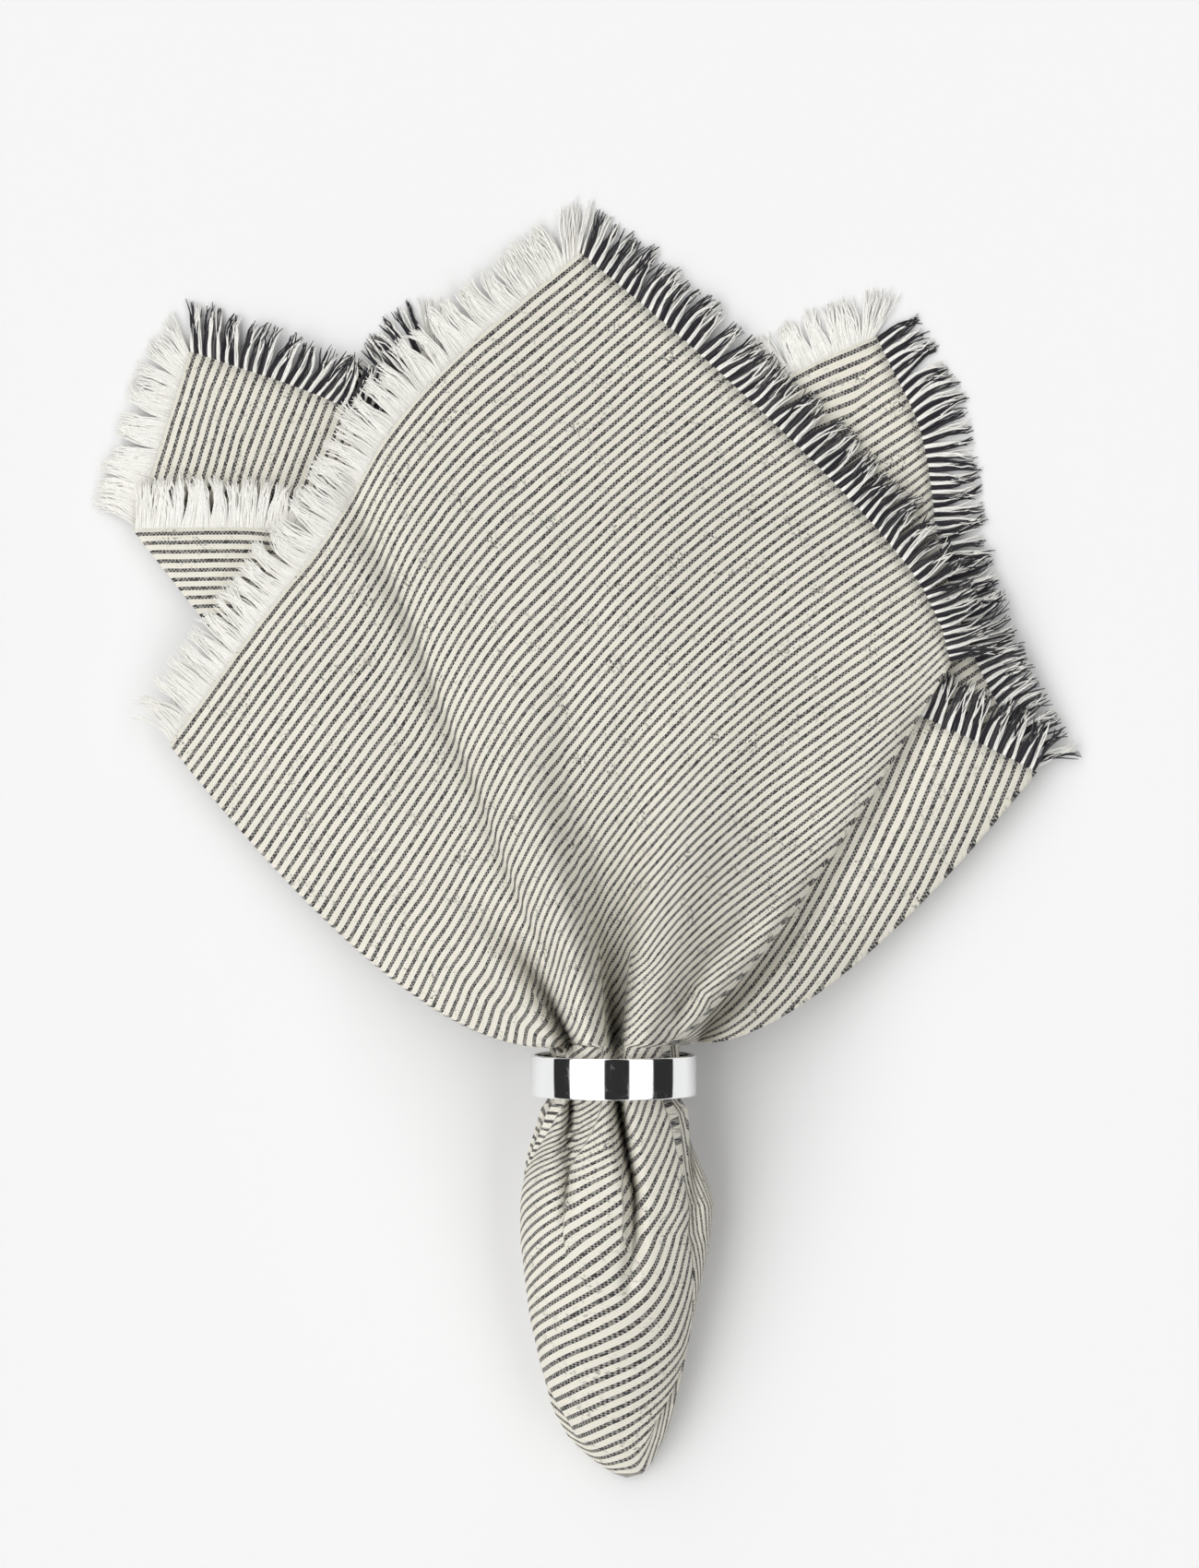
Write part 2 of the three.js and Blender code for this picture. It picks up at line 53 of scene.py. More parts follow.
RING_BAND = (ring_high[1] - ring_low[1]) / MM
print("ring radius and band, mm:", round(RING_RADIUS, 2), round(RING_BAND, 2))

# %% [markdown]
# The photograph looks straight down on a table. A long lens held 1.2 m above it gives the same small
# perspective: what stands up, such as the ring, looks a little larger than what lies flat. The picture
# is 1300 by 1700 pixels, and one pixel is 0.24 mm on the table.

# %% The camera above the table
PIXEL = 0.24 * MM
PICTURE = (1300, 1700)
EYE_HEIGHT = 1.2
RING_PIXEL = (665.0, 1165.0)
RING_VIEW_HEIGHT = ring_middle[2]

shrink = (EYE_HEIGHT - RING_VIEW_HEIGHT) / EYE_HEIGHT
eye_x = ring_middle[0] + (PICTURE[0] / 2 - RING_PIXEL[0]) * PIXEL * shrink
eye_y = ring_middle[1] + (RING_PIXEL[1] - PICTURE[1] / 2) * PIXEL * shrink
camera_data = bpy.data.cameras.new("eye")
camera_data.sensor_width = 36.0
camera_data.lens = 36.0 * EYE_HEIGHT / (PICTURE[1] * PIXEL)
camera_data.clip_start = 0.05
camera = bpy.data.objects.new("eye", camera_data)
camera.location = (eye_x, eye_y, EYE_HEIGHT)
bpy.context.scene.collection.objects.link(camera)
bpy.context.scene.camera = camera
print("camera at", [round(value, 4) for value in camera.location], "lens", round(camera_data.lens, 1))

# %% [markdown]
# A material is a small graph of nodes. A few short helpers keep the graphs readable: they add a node
# and fill its sockets, add a math node, or mix two colours. A socket is filled either with a plain value
# or with the output of another node. The last helpers start a material, make a mesh object from arrays,
# and carry places from the tables into the frame.

# %% Helpers for node graphs
def fill(tree, node, values):
    """Put a number, a colour or another node's output into each named or numbered input."""
    for key, value in values.items():
        socket = node.inputs[key]
        if isinstance(value, bpy.types.NodeSocket):
            tree.links.new(value, socket)
        else:
            socket.default_value = value
    return node


def add(tree, kind, values=None, **settings):
    """Add one node, set its own options, then fill its inputs."""
    node = tree.nodes.new(kind)
    for key, value in settings.items():
        setattr(node, key, value)
    return fill(tree, node, values or {})


def math(tree, operation, *values):
    """Add a math node and give back its output."""
    node = add(tree, "ShaderNodeMath", dict(enumerate(values)), operation=operation)
    return node.outputs[0]


def blend(tree, share, low, high):
    """Mix two colours by a share from 0 to 1."""
    node = tree.nodes.new("ShaderNodeMix")
    node.data_type = "RGBA"
    fill(tree, node, {0: share, 6: low, 7: high})
    return node.outputs[2]


def new_material(name, color, roughness, metallic=0.0):
    """A material with one Principled shader, whose plain values sit on the shader itself."""
    material = bpy.data.materials.new(name)
    material.use_nodes = True
    shader = material.node_tree.nodes["Principled BSDF"]
    fill(material.node_tree, shader, {"Base Color": (*color, 1), "Roughness": roughness,
                                      "Metallic": metallic})
    material.diffuse_color = (*color, 1)
    return material, material.node_tree, shader


def link_mesh(name, points, face_sets, material, smooth=True):
    """A mesh object at the origin, from points in metres and arrays of faces, one for each face size."""
    mesh = bpy.data.meshes.new(name)
    sizes = np.concatenate([np.full(len(faces), faces.shape[1]) for faces in face_sets])
    loops = np.concatenate([faces.ravel() for faces in face_sets])
    mesh.vertices.add(len(points))
    mesh.vertices.foreach_set("co", np.ascontiguousarray(points, dtype=np.float32).ravel())
    mesh.loops.add(len(loops))
    mesh.loops.foreach_set("vertex_index", loops.astype(np.int32))
    mesh.polygons.add(len(sizes))
    mesh.polygons.foreach_set("loop_start", np.concatenate([[0], np.cumsum(sizes)[:-1]]).astype(np.int32))
    mesh.polygons.foreach_set("use_smooth", np.full(len(sizes), smooth))
    mesh.update(calc_edges=True)
    mesh.materials.append(material)
    piece = bpy.data.objects.new(name, mesh)
    bpy.context.scene.collection.objects.link(piece)
    return piece


def to_frame(points):
    """Millimetres from the ring's middle, as the tables hold them, to metres in the frame."""
    return np.asarray(points) * MM + np.array([ring_middle[0], ring_middle[1], 0])


# %% [markdown]
# The studio is a tent: one long white panel on each side overhead, a dark gap between them for the
# lens, and dark between the panels and the horizon. From under the horizon comes a dimmer, even light.
# Soft cloth takes an even light from the tent, and the mirror band shows it as upright stripes of white
# and black. The panels could be lamps or cards, but as directions in the world's shader they are exact,
# and the whole tent is a few nodes.

# %% Light tent, floor and colours
PANELS_DEG = [(-62.0, -13.0), (22.0, 56.0)]
PANEL_LIGHTS = (2.2, 1.3)
GAP_LIGHT = 0.03
LOW_LIGHT = 0.55
EDGE_DEG = 1.2

world = bpy.data.worlds.new("light_tent")
world.use_nodes = True
bpy.context.scene.world = world
tent = world.node_tree
way = add(tent, "ShaderNodeSeparateXYZ", {0: add(tent, "ShaderNodeTexCoord").outputs["Generated"]})
lean = math(tent, "MULTIPLY", math(tent, "ARCTAN2", way.outputs[0], way.outputs[2]), 180 / np.pi)


def between(tree, value, low, high, edge):
    """1 inside a range of a value and 0 outside it, with soft ends."""
    rise = add(tree, "ShaderNodeMapRange", {0: value, 1: low - edge, 2: low + edge}).outputs[0]
    fall = add(tree, "ShaderNodeMapRange", {0: value, 1: high - edge, 2: high + edge}).outputs[0]
    return math(tree, "SUBTRACT", rise, fall)


panels = [between(tent, lean, low, high, EDGE_DEG) for low, high in PANELS_DEG]
below = math(tent, "LESS_THAN", way.outputs[2], 0.0)
lit = [math(tent, "MULTIPLY", panel, light) for panel, light in zip(panels, PANEL_LIGHTS)]
shine = math(tent, "ADD", *lit)
shine = math(tent, "ADD", shine, GAP_LIGHT)
shine = math(tent, "ADD", shine, math(tent, "MULTIPLY", below, LOW_LIGHT))
fill(tent, tent.nodes["Background"], {"Color": (1, 1, 1, 1), "Strength": shine})
bpy.context.scene.view_settings.view_transform = "Standard"

FLOOR_HALF = 2.0
FLOOR_DROP = 0.0002
floor_white, _, _ = new_material("pale_floor", (0.88, 0.88, 0.88), 0.9)
corners = np.array([(-1, -1), (1, -1), (1, 1), (-1, 1)]) * FLOOR_HALF
floor = link_mesh("floor", np.column_stack([corners, np.full(4, -FLOOR_DROP)]),
                  [np.array([[0, 1, 2, 3]])], floor_white, smooth=False)

# %% [markdown]
# The napkin is a flat square, pinched near its middle and pulled through the ring, so that the middle
# hangs below as a tail and the four corners fan out above. It could be left to a cloth simulation, but
# the folds would fall where they like. Here each fold is placed. A ray runs from the pinched point over
# the tail, through the ring and out to the hem, and a table says where each ray passes the ring and
# where it ends. Between two folds the rays make one layer, and the layers lie in a stack.
# The rows are those of the solids, with more bow at the front's right fold. Hem is counted in sides
# from the front corner, across runs from -1 to 1 in the ring, x and y are the hem's place in
# millimetres from the ring, and bow says how much wider than its chord a ray sets out.

# %% The layers and their folds
NAPKIN_SIDE = 440.0
SHEET = 0.6
FRINGE = 12.0
ROUNDED_HEM = 0.032
WINDOW_STEPS = 9
COLUMNS = ("hem", "across", "x", "y", "bow")
RUNS = [
    dict(name="front", level=7, rays=186, rows=[
        (-0.337, 0.98, 86.6, 105.6, 1.5), (-0.291, 0.80, 83.0, 121.0, 1.35),
        (-0.247, 0.62, 72.0, 136.3, 1.2), (-0.172, 0.38, 49.7, 160.3, 1.05),
        (-0.077, 0.14, 18.6, 189.6, 1.0), (0.000, -0.06, -8.6, 212.4, 1.0),
        (0.109, -0.32, -44.6, 182.2, 1.0), (0.183, -0.48, -63.8, 157.7, 1.1),
        (0.220, -0.57, -69.4, 142.6, 1.2), (0.288, -0.75, -88.6, 119.5, 1.45),
        (0.385, -1.00, -114.7, 84.7, 1.83)]),
    dict(name="left_under", level=6, rays=40, rows=[
        (0.385, -1.00, -114.7, 84.7, 1.83), (0.645, -0.12, -16.0, 121.0, 1.0)]),
    dict(name="left_flap", level=5, rays=36, rows=[
        (0.645, -0.12, -16.0, 121.0, 1.0), (0.812, -0.70, -86.4, 140.9, 1.0),
        (0.898, -1.00, -124.3, 140.4, 1.05)]),
    dict(name="back_left", level=2, rays=34, rows=[
        (0.898, -1.00, -124.3, 140.4, 1.05), (1.000, -0.76, -109.9, 186.7, 1.0),
        (1.091, -0.45, -72.0, 173.8, 1.0), (1.480, 0.60, 72.0, 95.8, 1.0)]),
    dict(name="back_left_under", level=1, rays=16, rows=[
        (1.480, 0.60, 72.0, 95.8, 1.0), (1.870, -1.00, -86.0, 146.0, 1.0)]),
    dict(name="back", level=0, rays=24, rows=[
        (1.870, -1.00, -86.0, 146.0, 1.0), (2.000, -0.50, -48.2, 188.4, 1.0),
        (2.364, 1.00, 74.6, 85.0, 1.1)]),
    dict(name="back_right_under", level=3, rays=24, rows=[
        (2.364, 1.00, 74.6, 85.0, 1.1), (2.664, -0.60, -54.5, 110.2, 1.0)]),
    dict(name="back_right", level=4, rays=44, rows=[
        (2.664, -0.60, -54.5, 110.2, 1.0), (2.947, 0.45, 46.6, 181.9, 1.0),
        (3.000, 0.62, 68.4, 190.8, 1.0), (3.080, 0.76, 84.2, 159.1, 1.0),
        (3.107, 0.80, 81.4, 147.6, 1.15), (3.200, 0.90, 91.9, 107.8, 1.4),
        (3.277, 1.00, 109.4, 77.5, 1.8)]),
    dict(name="right_flap", level=5, rays=28, rows=[
        (3.277, 1.00, 109.4, 77.5, 1.8), (3.350, 0.72, 78.7, 92.6, 1.4),
        (3.500, 0.12, 15.6, 114.7, 1.0)]),
    dict(name="right_under", level=6, rays=20, rows=[
        (3.500, 0.12, 15.6, 114.7, 1.0), (3.663, 0.98, 86.6, 105.6, 1.5)]),
]
for run in RUNS:
    run["table"] = dict(zip(COLUMNS, np.array(run["rows"]).T))


def rays_at(run, hem):
    """Each column at places along the hem: between rows, averaged over a window that ends at corners."""
    table = run["table"]
    first, last = table["hem"][0], table["hem"][-1]
    low, high = np.maximum(np.floor(hem), first), np.minimum(np.floor(hem) + 1, last)
    window = np.clip(np.minimum(hem - low, high - hem), 0, ROUNDED_HEM)
    spread = np.linspace(-1, 1, WINDOW_STEPS)
    return {key: sum(np.interp(hem + window * step, table["hem"], table[key]) for step in spread)
            / WINDOW_STEPS for key in COLUMNS[1:]} | {"hem": hem}


print("layers:", len(RUNS), "rays in them:", sum(run["rays"] for run in RUNS))

# %% [markdown]
# Inside the ring the stack of layers is squeezed into a round bundle. A square can be pulled out to a
# disc so that every level stays above the one below it, and that keeps the layers from crossing
# anywhere. Over the fan each ray is a quadratic curve in plan. Its height is one pitch for each lower
# layer that lies beneath it, so a corner sinks to the table where nothing holds it up.

# %% Rays in plan and the height of each layer
LAYERS = 8
PITCH = 2.1
GATHER_RADIUS = 16.6
GATHER_HEIGHT = 19.0
MOUTH_Y = 8.0
MOUTH_WIDEN = 1.08
CONTROL = 0.29
PLATEAU = FRINGE + 2.0
SPREAD = FRINGE + 48.0
FAN_DROP = 75.0
LEVEL_TOP = 0.96


def ease(value, low, high):
    """0 below low, 1 above high, and a smooth cubic between them."""
    share = np.clip((value - low) / (high - low), 0, 1)
    return share * share * (3 - 2 * share)


def disc_place(across, level):
    """Square to disc: x = across * sqrt(1 - up^2 / 2), z = up * sqrt(1 - across^2 / 2)."""
    up = LEVEL_TOP * (2 * level / (LAYERS - 1) - 1)
    return across * np.sqrt(1 - up * up / 2), up * np.sqrt(1 - across * across / 2)


def fan_plan(rays, level, share):
    """Plan curve of a ray: start + 2 s (1 - s) c * set-out direction + s^2 * chord, for share s."""
    start_x = GATHER_RADIUS * MOUTH_WIDEN * disc_place(rays["across"], level)[0]
    chord_x, chord_y = rays["x"] - start_x, rays["y"] - MOUTH_Y
    length = np.hypot(chord_x, chord_y)
    lean = np.pi / 2 + rays["bow"] * (np.arctan2(chord_y, chord_x) - np.pi / 2)
    reach = 2 * share * (1 - share) * CONTROL * length
    return (start_x + reach * np.cos(lean) + share**2 * chord_x,
            MOUTH_Y + reach * np.sin(lean) + share**2 * chord_y)


def outline_of(run):
    """A layer's outline in plan: up its first ray, along the hem and back down its last ray."""
    shares = np.array([0, 0.1, 0.25, 0.5, 0.75])
    ends = [rays_at(run, run["table"]["hem"][k]) for k in (0, -1)]
    up, down = (np.column_stack(fan_plan(end, run["level"], shares)) for end in ends)
    hem = np.column_stack([run["table"]["x"], run["table"]["y"]])
    return np.vstack([up, hem, down[::-1]])


def distance_outside(outline, x, y):
    """Distance from plan points to a closed outline, and 0 for points inside it."""
    nearest = np.full(np.shape(x), np.inf)
    inside = np.zeros(np.shape(x), bool)
    for (ax, ay), (bx, by) in zip(outline, np.roll(outline, -1, axis=0)):
        square = max((bx - ax)**2 + (by - ay)**2, 1e-9)
        share = np.clip(((x - ax) * (bx - ax) + (y - ay) * (by - ay)) / square, 0, 1)
        nearest = np.minimum(nearest, np.hypot(x - ax - share * (bx - ax), y - ay - share * (by - ay)))
        if ay != by:
            inside ^= ((ay > y) != (by > y)) & (x < ax + (y - ay) * (bx - ax) / (by - ay))
    return np.where(inside, 0, nearest)


outlines = [(run["level"], outline_of(run)) for run in RUNS]


def stack_height(level, x, y):
    """Half a sheet, and one pitch for each lower layer beneath, less past that layer's fringe."""
    height = np.full(np.shape(x), SHEET / 2)
    for lower, outline in outlines:
        held = 1 - ease(distance_outside(outline, x, y), PLATEAU, SPREAD)
        height = height + PITCH * held * (lower < level)
    return height


print("stack over the middle of the fan, mm:", round(float(stack_height(7, 0.0, 90.0)), 1))

# %% [markdown]
# Gathered cloth is drawn into pleats at the ring, which fade as the cloth spreads. Each is placed by
# hand as a short path in plan. Near its path the whole stack is pressed down, or raised where the depth
# Gathered cloth is drawn into pleats at the ring, which fade as the cloth spreads. Each is given as a
# short path in plan. Near its path the whole stack is pressed down, or raised where the depth
# is negative, by a share of its height. A higher power gives a crease a flatter floor and steeper sides.
# Modelling each pleat as a fold of its own would be closer to the cloth, but no view shows its inside,
# and it would need far more rays. their order, as long as the rays of each lie close enough together to
# follow the crease.

# %% Creases in the fan and the tail
CREASES = [
    dict(path=[(0.7, 6), (0.8, 22), (0.6, 36), (0.4, 50), (0.2, 68), (-1, 100)],
         wide=(1.7, 14.5), deep=(0.64, 0.06), power=4),
    dict(path=[(-0.5, 9), (-2.4, 20), (-4.6, 32), (-7.6, 43.5), (-10.5, 55), (-12.5, 66), (-14, 80)],
         wide=(1.4, 4.0), deep=(0.16, 0.06), power=2),
    dict(path=[(-8, 60), (-11, 76), (-12, 96), (-8, 124), (-3, 150)],
         wide=(4.0, 12.0), deep=(0.12, 0.06), power=2),
    dict(path=[(-11.1, 8), (-16.9, 20), (-22.8, 30), (-31.3, 40), (-40, 47)],
         wide=(1.5, 5.0), deep=(0.52, 0.04), power=2),
    dict(path=[(-14, 30), (-22.3, 41), (-26.4, 52), (-30.1, 60.4), (-33.5, 73), (-40, 85), (-45, 98),
               (-51, 116), (-57, 128), (-63, 140), (-66, 150)],
         wide=(2.5, 4.5), deep=(0.08, 0.28), power=2),
    dict(path=[(21, 7), (28, 16.5), (37, 26.5), (45, 35), (52, 45), (60, 56), (68, 66.5), (82, 92)],
         wide=(2.4, 4.5), deep=(0.46, 0.24), power=2),
    dict(path=[(19, 12), (26, 22), (36, 31), (44, 42)],
         wide=(1.6, 2.4), deep=(-0.05, -0.12), power=2),
    dict(path=[(16, 17), (24, 29), (33, 38)],
         wide=(1.5, 3.0), deep=(0.12, 0.08), power=2),
    dict(path=[(8, 9), (14, 30), (22, 60), (32, 95)],
         wide=(2.6, 12.0), deep=(-0.06, -0.1), power=2),
    dict(path=[(-6, 9), (-10, 28), (-17, 52), (-26, 80)],
         wide=(2.2, 7.0), deep=(-0.08, -0.12), power=2),
    dict(path=[(1.2, -6), (3, -18), (5.4, -30), (5.4, -42), (3.5, -54)],
         wide=(1.5, 1.7), deep=(0.52, 0.08), power=2),
    dict(path=[(-10.6, -6), (-11, -16), (-12, -32), (-12.4, -40)],
         wide=(1.2, 1.6), deep=(0.42, 0.03), power=2),
    dict(path=[(18.6, -6), (19.4, -18), (20.4, -34), (21, -50)],
         wide=(1.4, 1.8), deep=(0.3, 0.06), power=2),
    dict(path=[(-18, -66), (-9, -72), (2, -74), (10, -70)],
         wide=(3.0, 3.0), deep=(0.06, 0.04), power=2),
]


def pressed(x, y):
    """Share of the height that is left: a product of 1 - deep * exp(-(distance / wide)^power)."""
    kept = np.ones(np.shape(x))
    for crease in CREASES:
        path = np.array(crease["path"], float)
        steps = np.hypot(*np.diff(path, axis=0).T)
        walked = np.concatenate([[0], np.cumsum(steps)]) / steps.sum()
        nearest, place = np.full(np.shape(x), np.inf), np.zeros(np.shape(x))
        for k, (ax, ay) in enumerate(path[:-1]):
            dx, dy = path[k + 1] - path[k]
            share = np.clip(((x - ax) * dx + (y - ay) * dy) / (dx * dx + dy * dy), 0, 1)
            away = np.hypot(x - ax - share * dx, y - ay - share * dy)
            closer = away < nearest
            nearest = np.where(closer, away, nearest)
            place = np.where(closer, walked[k] + share * (walked[k + 1] - walked[k]), place)
        wide = crease["wide"][0] + place * (crease["wide"][1] - crease["wide"][0])
        deep = crease["deep"][0] + place * (crease["deep"][1] - crease["deep"][0])
        kept = kept * (1 - deep * np.exp(-(nearest / wide)**crease["power"]))
    return kept


def press(x, y, height, felt=1.0):
    """Press a height towards the table, half a sheet above it, by a share of the creases' full depth."""
    return SHEET / 2 + (height - SHEET / 2) * (1 - felt * (1 - pressed(x, y)))


def fan_points(rays, level, share, felt=1.0):
    """Points of the fan: the ring's round bundle sinks to the flat stack with distance."""
    x, y = fan_plan(rays, level, share)
    bundle = RING_RADIUS + GATHER_HEIGHT * disc_place(rays["across"], level)[1]
    fallen = ease(np.hypot(x, y - MOUTH_Y), 0, FAN_DROP)
    height = bundle + fallen * (stack_height(level, x, y) - bundle)
    return np.stack([x, y, press(x, y, height, felt)], axis=-1)


# %% [markdown]
# Behind the ring the pleats open and merge into one round pouch, which is pinched shut at its tip. A
# short table gives the pouch's left and right outline and its height. A second one gives each ray's
# place round the pouch, in degrees from its right side. The front layer covers the whole top, the back
# layers share the underside, and the pleats between them are tucked inside. Towards the tip each ray
# slides over to its own angle round the napkin's middle, because there nothing is folded any more.

# %% The tail behind the ring
TAIL_COLUMNS = ("y", "left", "right", "high")
TAIL_ROWS = [
    (-105.5, 3.5, 3.5, 0.0), (-105.0, 0.4, 7.6, 3.0), (-103.0, -2.6, 9.6, 6.0), (-99.0, -7.6, 11.6, 10.0),
    (-94.0, -12.2, 13.9, 13.5), (-87.0, -16.0, 16.2, 17.0), (-75.0, -19.2, 18.7, 21.5),
    (-62.0, -22.0, 21.2, 25.0), (-43.0, -24.2, 25.2, 29.0), (-34.0, -24.2, 26.2, 31.0),
    (-22.0, -23.0, 23.2, 34.0), (-9.0, -19.6, 19.6, 38.0)]
TAIL_TIP_Y = TAIL_ROWS[0][0]
OPENING = (-30.0, -6.0)
ROUNDING = (-103.0, -66.0)
POUCH_HEMS = (-0.337, 0.385, 0.645, 0.898, 3.0, 3.277, 3.5, 3.663)
POUCH_DEG = (0.0, 186.0, 187.5, 189.0, 302.0, 358.0, 359.0, 360.0)
POUCH_REACH = (1.0, 1.0, 0.55, 1.0, 1.0, 1.0, 0.55, 1.0)
RIGHT_FOLD = dict(y=(-70.0, -40.0), deg=(6.0, 42.0))
COVER_SHARE = 0.125
tail = dict(zip(TAIL_COLUMNS, np.array(TAIL_ROWS).T))


def tail_section(y):
    """Middle, half-width, middle height and half-height of the bundle at a distance behind the mouth."""
    in_ring = ease(y, tail["y"][-1], -RING_BAND / 2)
    left, right, high = (np.interp(y, tail["y"], tail[key]) for key in TAIL_COLUMNS[1:])
    cover = np.minimum((right - left) * COVER_SHARE, SHEET)
    section = {"x": (left + right) / 2, "wide": (right - left) / 2 - cover,
               "z": high / 2 + SHEET / 2, "high": high / 2}
    ring_section = {"x": 0, "wide": GATHER_RADIUS, "z": RING_RADIUS, "high": GATHER_HEIGHT}
    return {key: section[key] + in_ring * (ring_section[key] - section[key]) for key in section}


def tail_points(rays, level, y, felt=1.0):
    """Points of the tail: folded in the ring, an open pouch behind it, and round at the tip."""
    folded_x, folded_z = disc_place(rays["across"], level)
    hem = rays["hem"]
    right = np.interp(y, RIGHT_FOLD["y"], RIGHT_FOLD["deg"])
    pouch = np.interp(hem, POUCH_HEMS, POUCH_DEG)
    pouch = pouch + right * np.where(hem < POUCH_HEMS[1], 1 - pouch / POUCH_DEG[1],
                                     np.clip((pouch - POUCH_DEG[3]) / (360 - POUCH_DEG[3]), 0, 1))
    rounded = 1 - ease(y, *ROUNDING)
    turn = np.radians(pouch + rounded * (90 + 90 * hem - pouch))
    reach = 1 - (1 - np.interp(hem, POUCH_HEMS, POUCH_REACH)) * (1 - rounded)
    opened = 1 - ease(y, *OPENING)
    section = tail_section(y)
    x = section["x"] + section["wide"] * (folded_x + opened * (reach * np.cos(turn) - folded_x))
    z = section["z"] + section["high"] * (folded_z + opened * (reach * np.sin(turn) - folded_z))
    z = np.maximum(press(x, y, z, felt), SHEET / 2)
    return np.stack(np.broadcast_arrays(x, y, z), axis=-1)


# %% [markdown]
# Now every ray is sampled from the tip to the hem. At a fold the sheet turns over from one layer to the
# next in a half circle, which is a few more rays. Near the ring there is far more cloth than room, so
# the front rays are drawn into a few valleys, where it hides, and the bulges between them keep their
# true scale. Two waves of the front do the same in a small way: on their steep sides the rays draw
# together. Even rays would be simpler, but the stripes would look too fine near the ring.

# %% Rays, and where they draw together
FOLD_WIDTH = 0.003
FOLD_TURNS = np.radians(np.linspace(0, 180, 7)[1:-1])
TAIL_STEPS = 36
FAN_STEPS = 56
KEPT_EVEN = 0.07
TIP_ROOM = 1.0
TAIL_CROWDING, FAN_CROWDING = 1.1, 1.15
TAIL_GATHERS = dict(valleys=(-0.337, -0.113, 0.073, 0.385), place=(-46.0, -14.0, 8.0),
                    fullness=(1.0, 1.8, 3.4))
FAN_GATHERS = dict(valleys=(-0.337, -0.085, 0.03, 0.27, 0.385), place=(0.0, 0.07, 0.2),
                   fullness=(3.0, 1.7, 1.0))
WAVES = [dict(hem=0.2, wide=0.022, place=(0.2, 0.4, 0.9, 1.0), hidden=(0.0, 0.7, 0.7, 0.0)),
         dict(hem=0.062, wide=0.014, place=(0.05, 0.2, 0.4, 0.6), hidden=(0.0, 0.5, 0.5, 0.0))]


def all_rays():
    """The rays of every layer in order, and the turning rays of the fold after each layer."""
    parts = []
    for run, following in zip(RUNS, RUNS[1:] + RUNS[:1]):
        table = run["table"]
        first, last = table["hem"][0] + FOLD_WIDTH / 2, table["hem"][-1] - FOLD_WIDTH / 2
        stops = np.concatenate([np.linspace(first, last, run["rays"]), table["hem"][1:-1]])
        stops = np.unique(np.round(stops, 4))
        rays = rays_at(run, stops)
        side = np.sign(table["across"][-1] - table["across"][0])
        parts.append(rays | {"level": run["level"], "next": run["level"], "turn": 0.0, "side": side})
        fold = rays_at(run, np.full(len(FOLD_TURNS), table["hem"][-1]))
        fold["hem"] = fold["hem"] + FOLD_WIDTH * (FOLD_TURNS / np.pi - 0.5)
        parts.append(fold | {"level": run["level"], "next": following["level"], "turn": FOLD_TURNS,
                             "side": side})
    keys = parts[0].keys()
    whole = [{key: np.broadcast_to(part[key], part["hem"].shape) for key in keys} for part in parts]
    return {key: np.concatenate([part[key] for part in whole])[:, None].astype(float) for key in keys}


def gathered(hem, valleys, fullness):
    """Hem places drawn into valleys: m + clip(f (h - m), -w, w), with a bulge's middle m, half-width w."""
    low, high = np.array(valleys[:-1]), np.array(valleys[1:])
    bulge = np.clip(np.searchsorted(high, hem), 0, len(high) - 1)
    middle, half = ((low + high) / 2)[bulge], ((high - low) / 2)[bulge]
    drawn = middle + np.clip(fullness * (hem - middle), -half, half)
    return KEPT_EVEN * hem + (1 - KEPT_EVEN) * drawn


def waved(hem, place):
    """Hem places drawn over a wave's steep side at h: hem - hidden (hem - h) exp(-((hem - h) / wide)^2)."""
    for wave in WAVES:
        hidden = np.interp(place, wave["place"], wave["hidden"])
        away = hem - wave["hem"]
        hem = hem - hidden * away * np.exp(-(away / wave["wide"])**2)
    return hem


def whole_rays(rays, level, drawn_in, felt=1.0):
    """Each ray's points from the tail's tip to the hem, if the ray lay on one level."""
    tip_y = TAIL_TIP_Y + TIP_ROOM
    tail_y = tip_y + (MOUTH_Y - tip_y) * np.linspace(0, 1, TAIL_STEPS)**TAIL_CROWDING
    shares = np.linspace(0, 1, FAN_STEPS + 1)[1:]**FAN_CROWDING
    front = RUNS[0]
    inner = (rays["level"] == front["level"]) & (rays["turn"] == 0) & drawn_in
    behind, ahead = dict(rays), dict(rays)
    for part, place, table in ((behind, tail_y, TAIL_GATHERS), (ahead, shares, FAN_GATHERS)):
        fullness = np.interp(place, table["place"], table["fullness"])
        hem = gathered(rays["hem"], table["valleys"], fullness)
        hem = waved(hem, place) if part is ahead else hem
        slid = rays_at(front, hem)
        part.update({key: np.where(inner, slid[key], rays[key]) for key in COLUMNS})
    return np.concatenate([tail_points(behind, level, tail_y, felt),
                           fan_points(ahead, level, shares, felt)], axis=1)


rays = all_rays()
print("rays with the folds:", len(rays["hem"]), "points along each:", TAIL_STEPS + FAN_STEPS)

# %% [markdown]
# The turning rays of a fold go over from the layer before it to the layer after it, and in between they
# swing out past the common edge. A strip of its own could close each fold too, but as rays of the same
# grid the folds carry the stripes on without a seam.

# %% The draped sheet as one grid
SWING_MOST = 0.15
FOLD_LEAN_REACH = 40.0

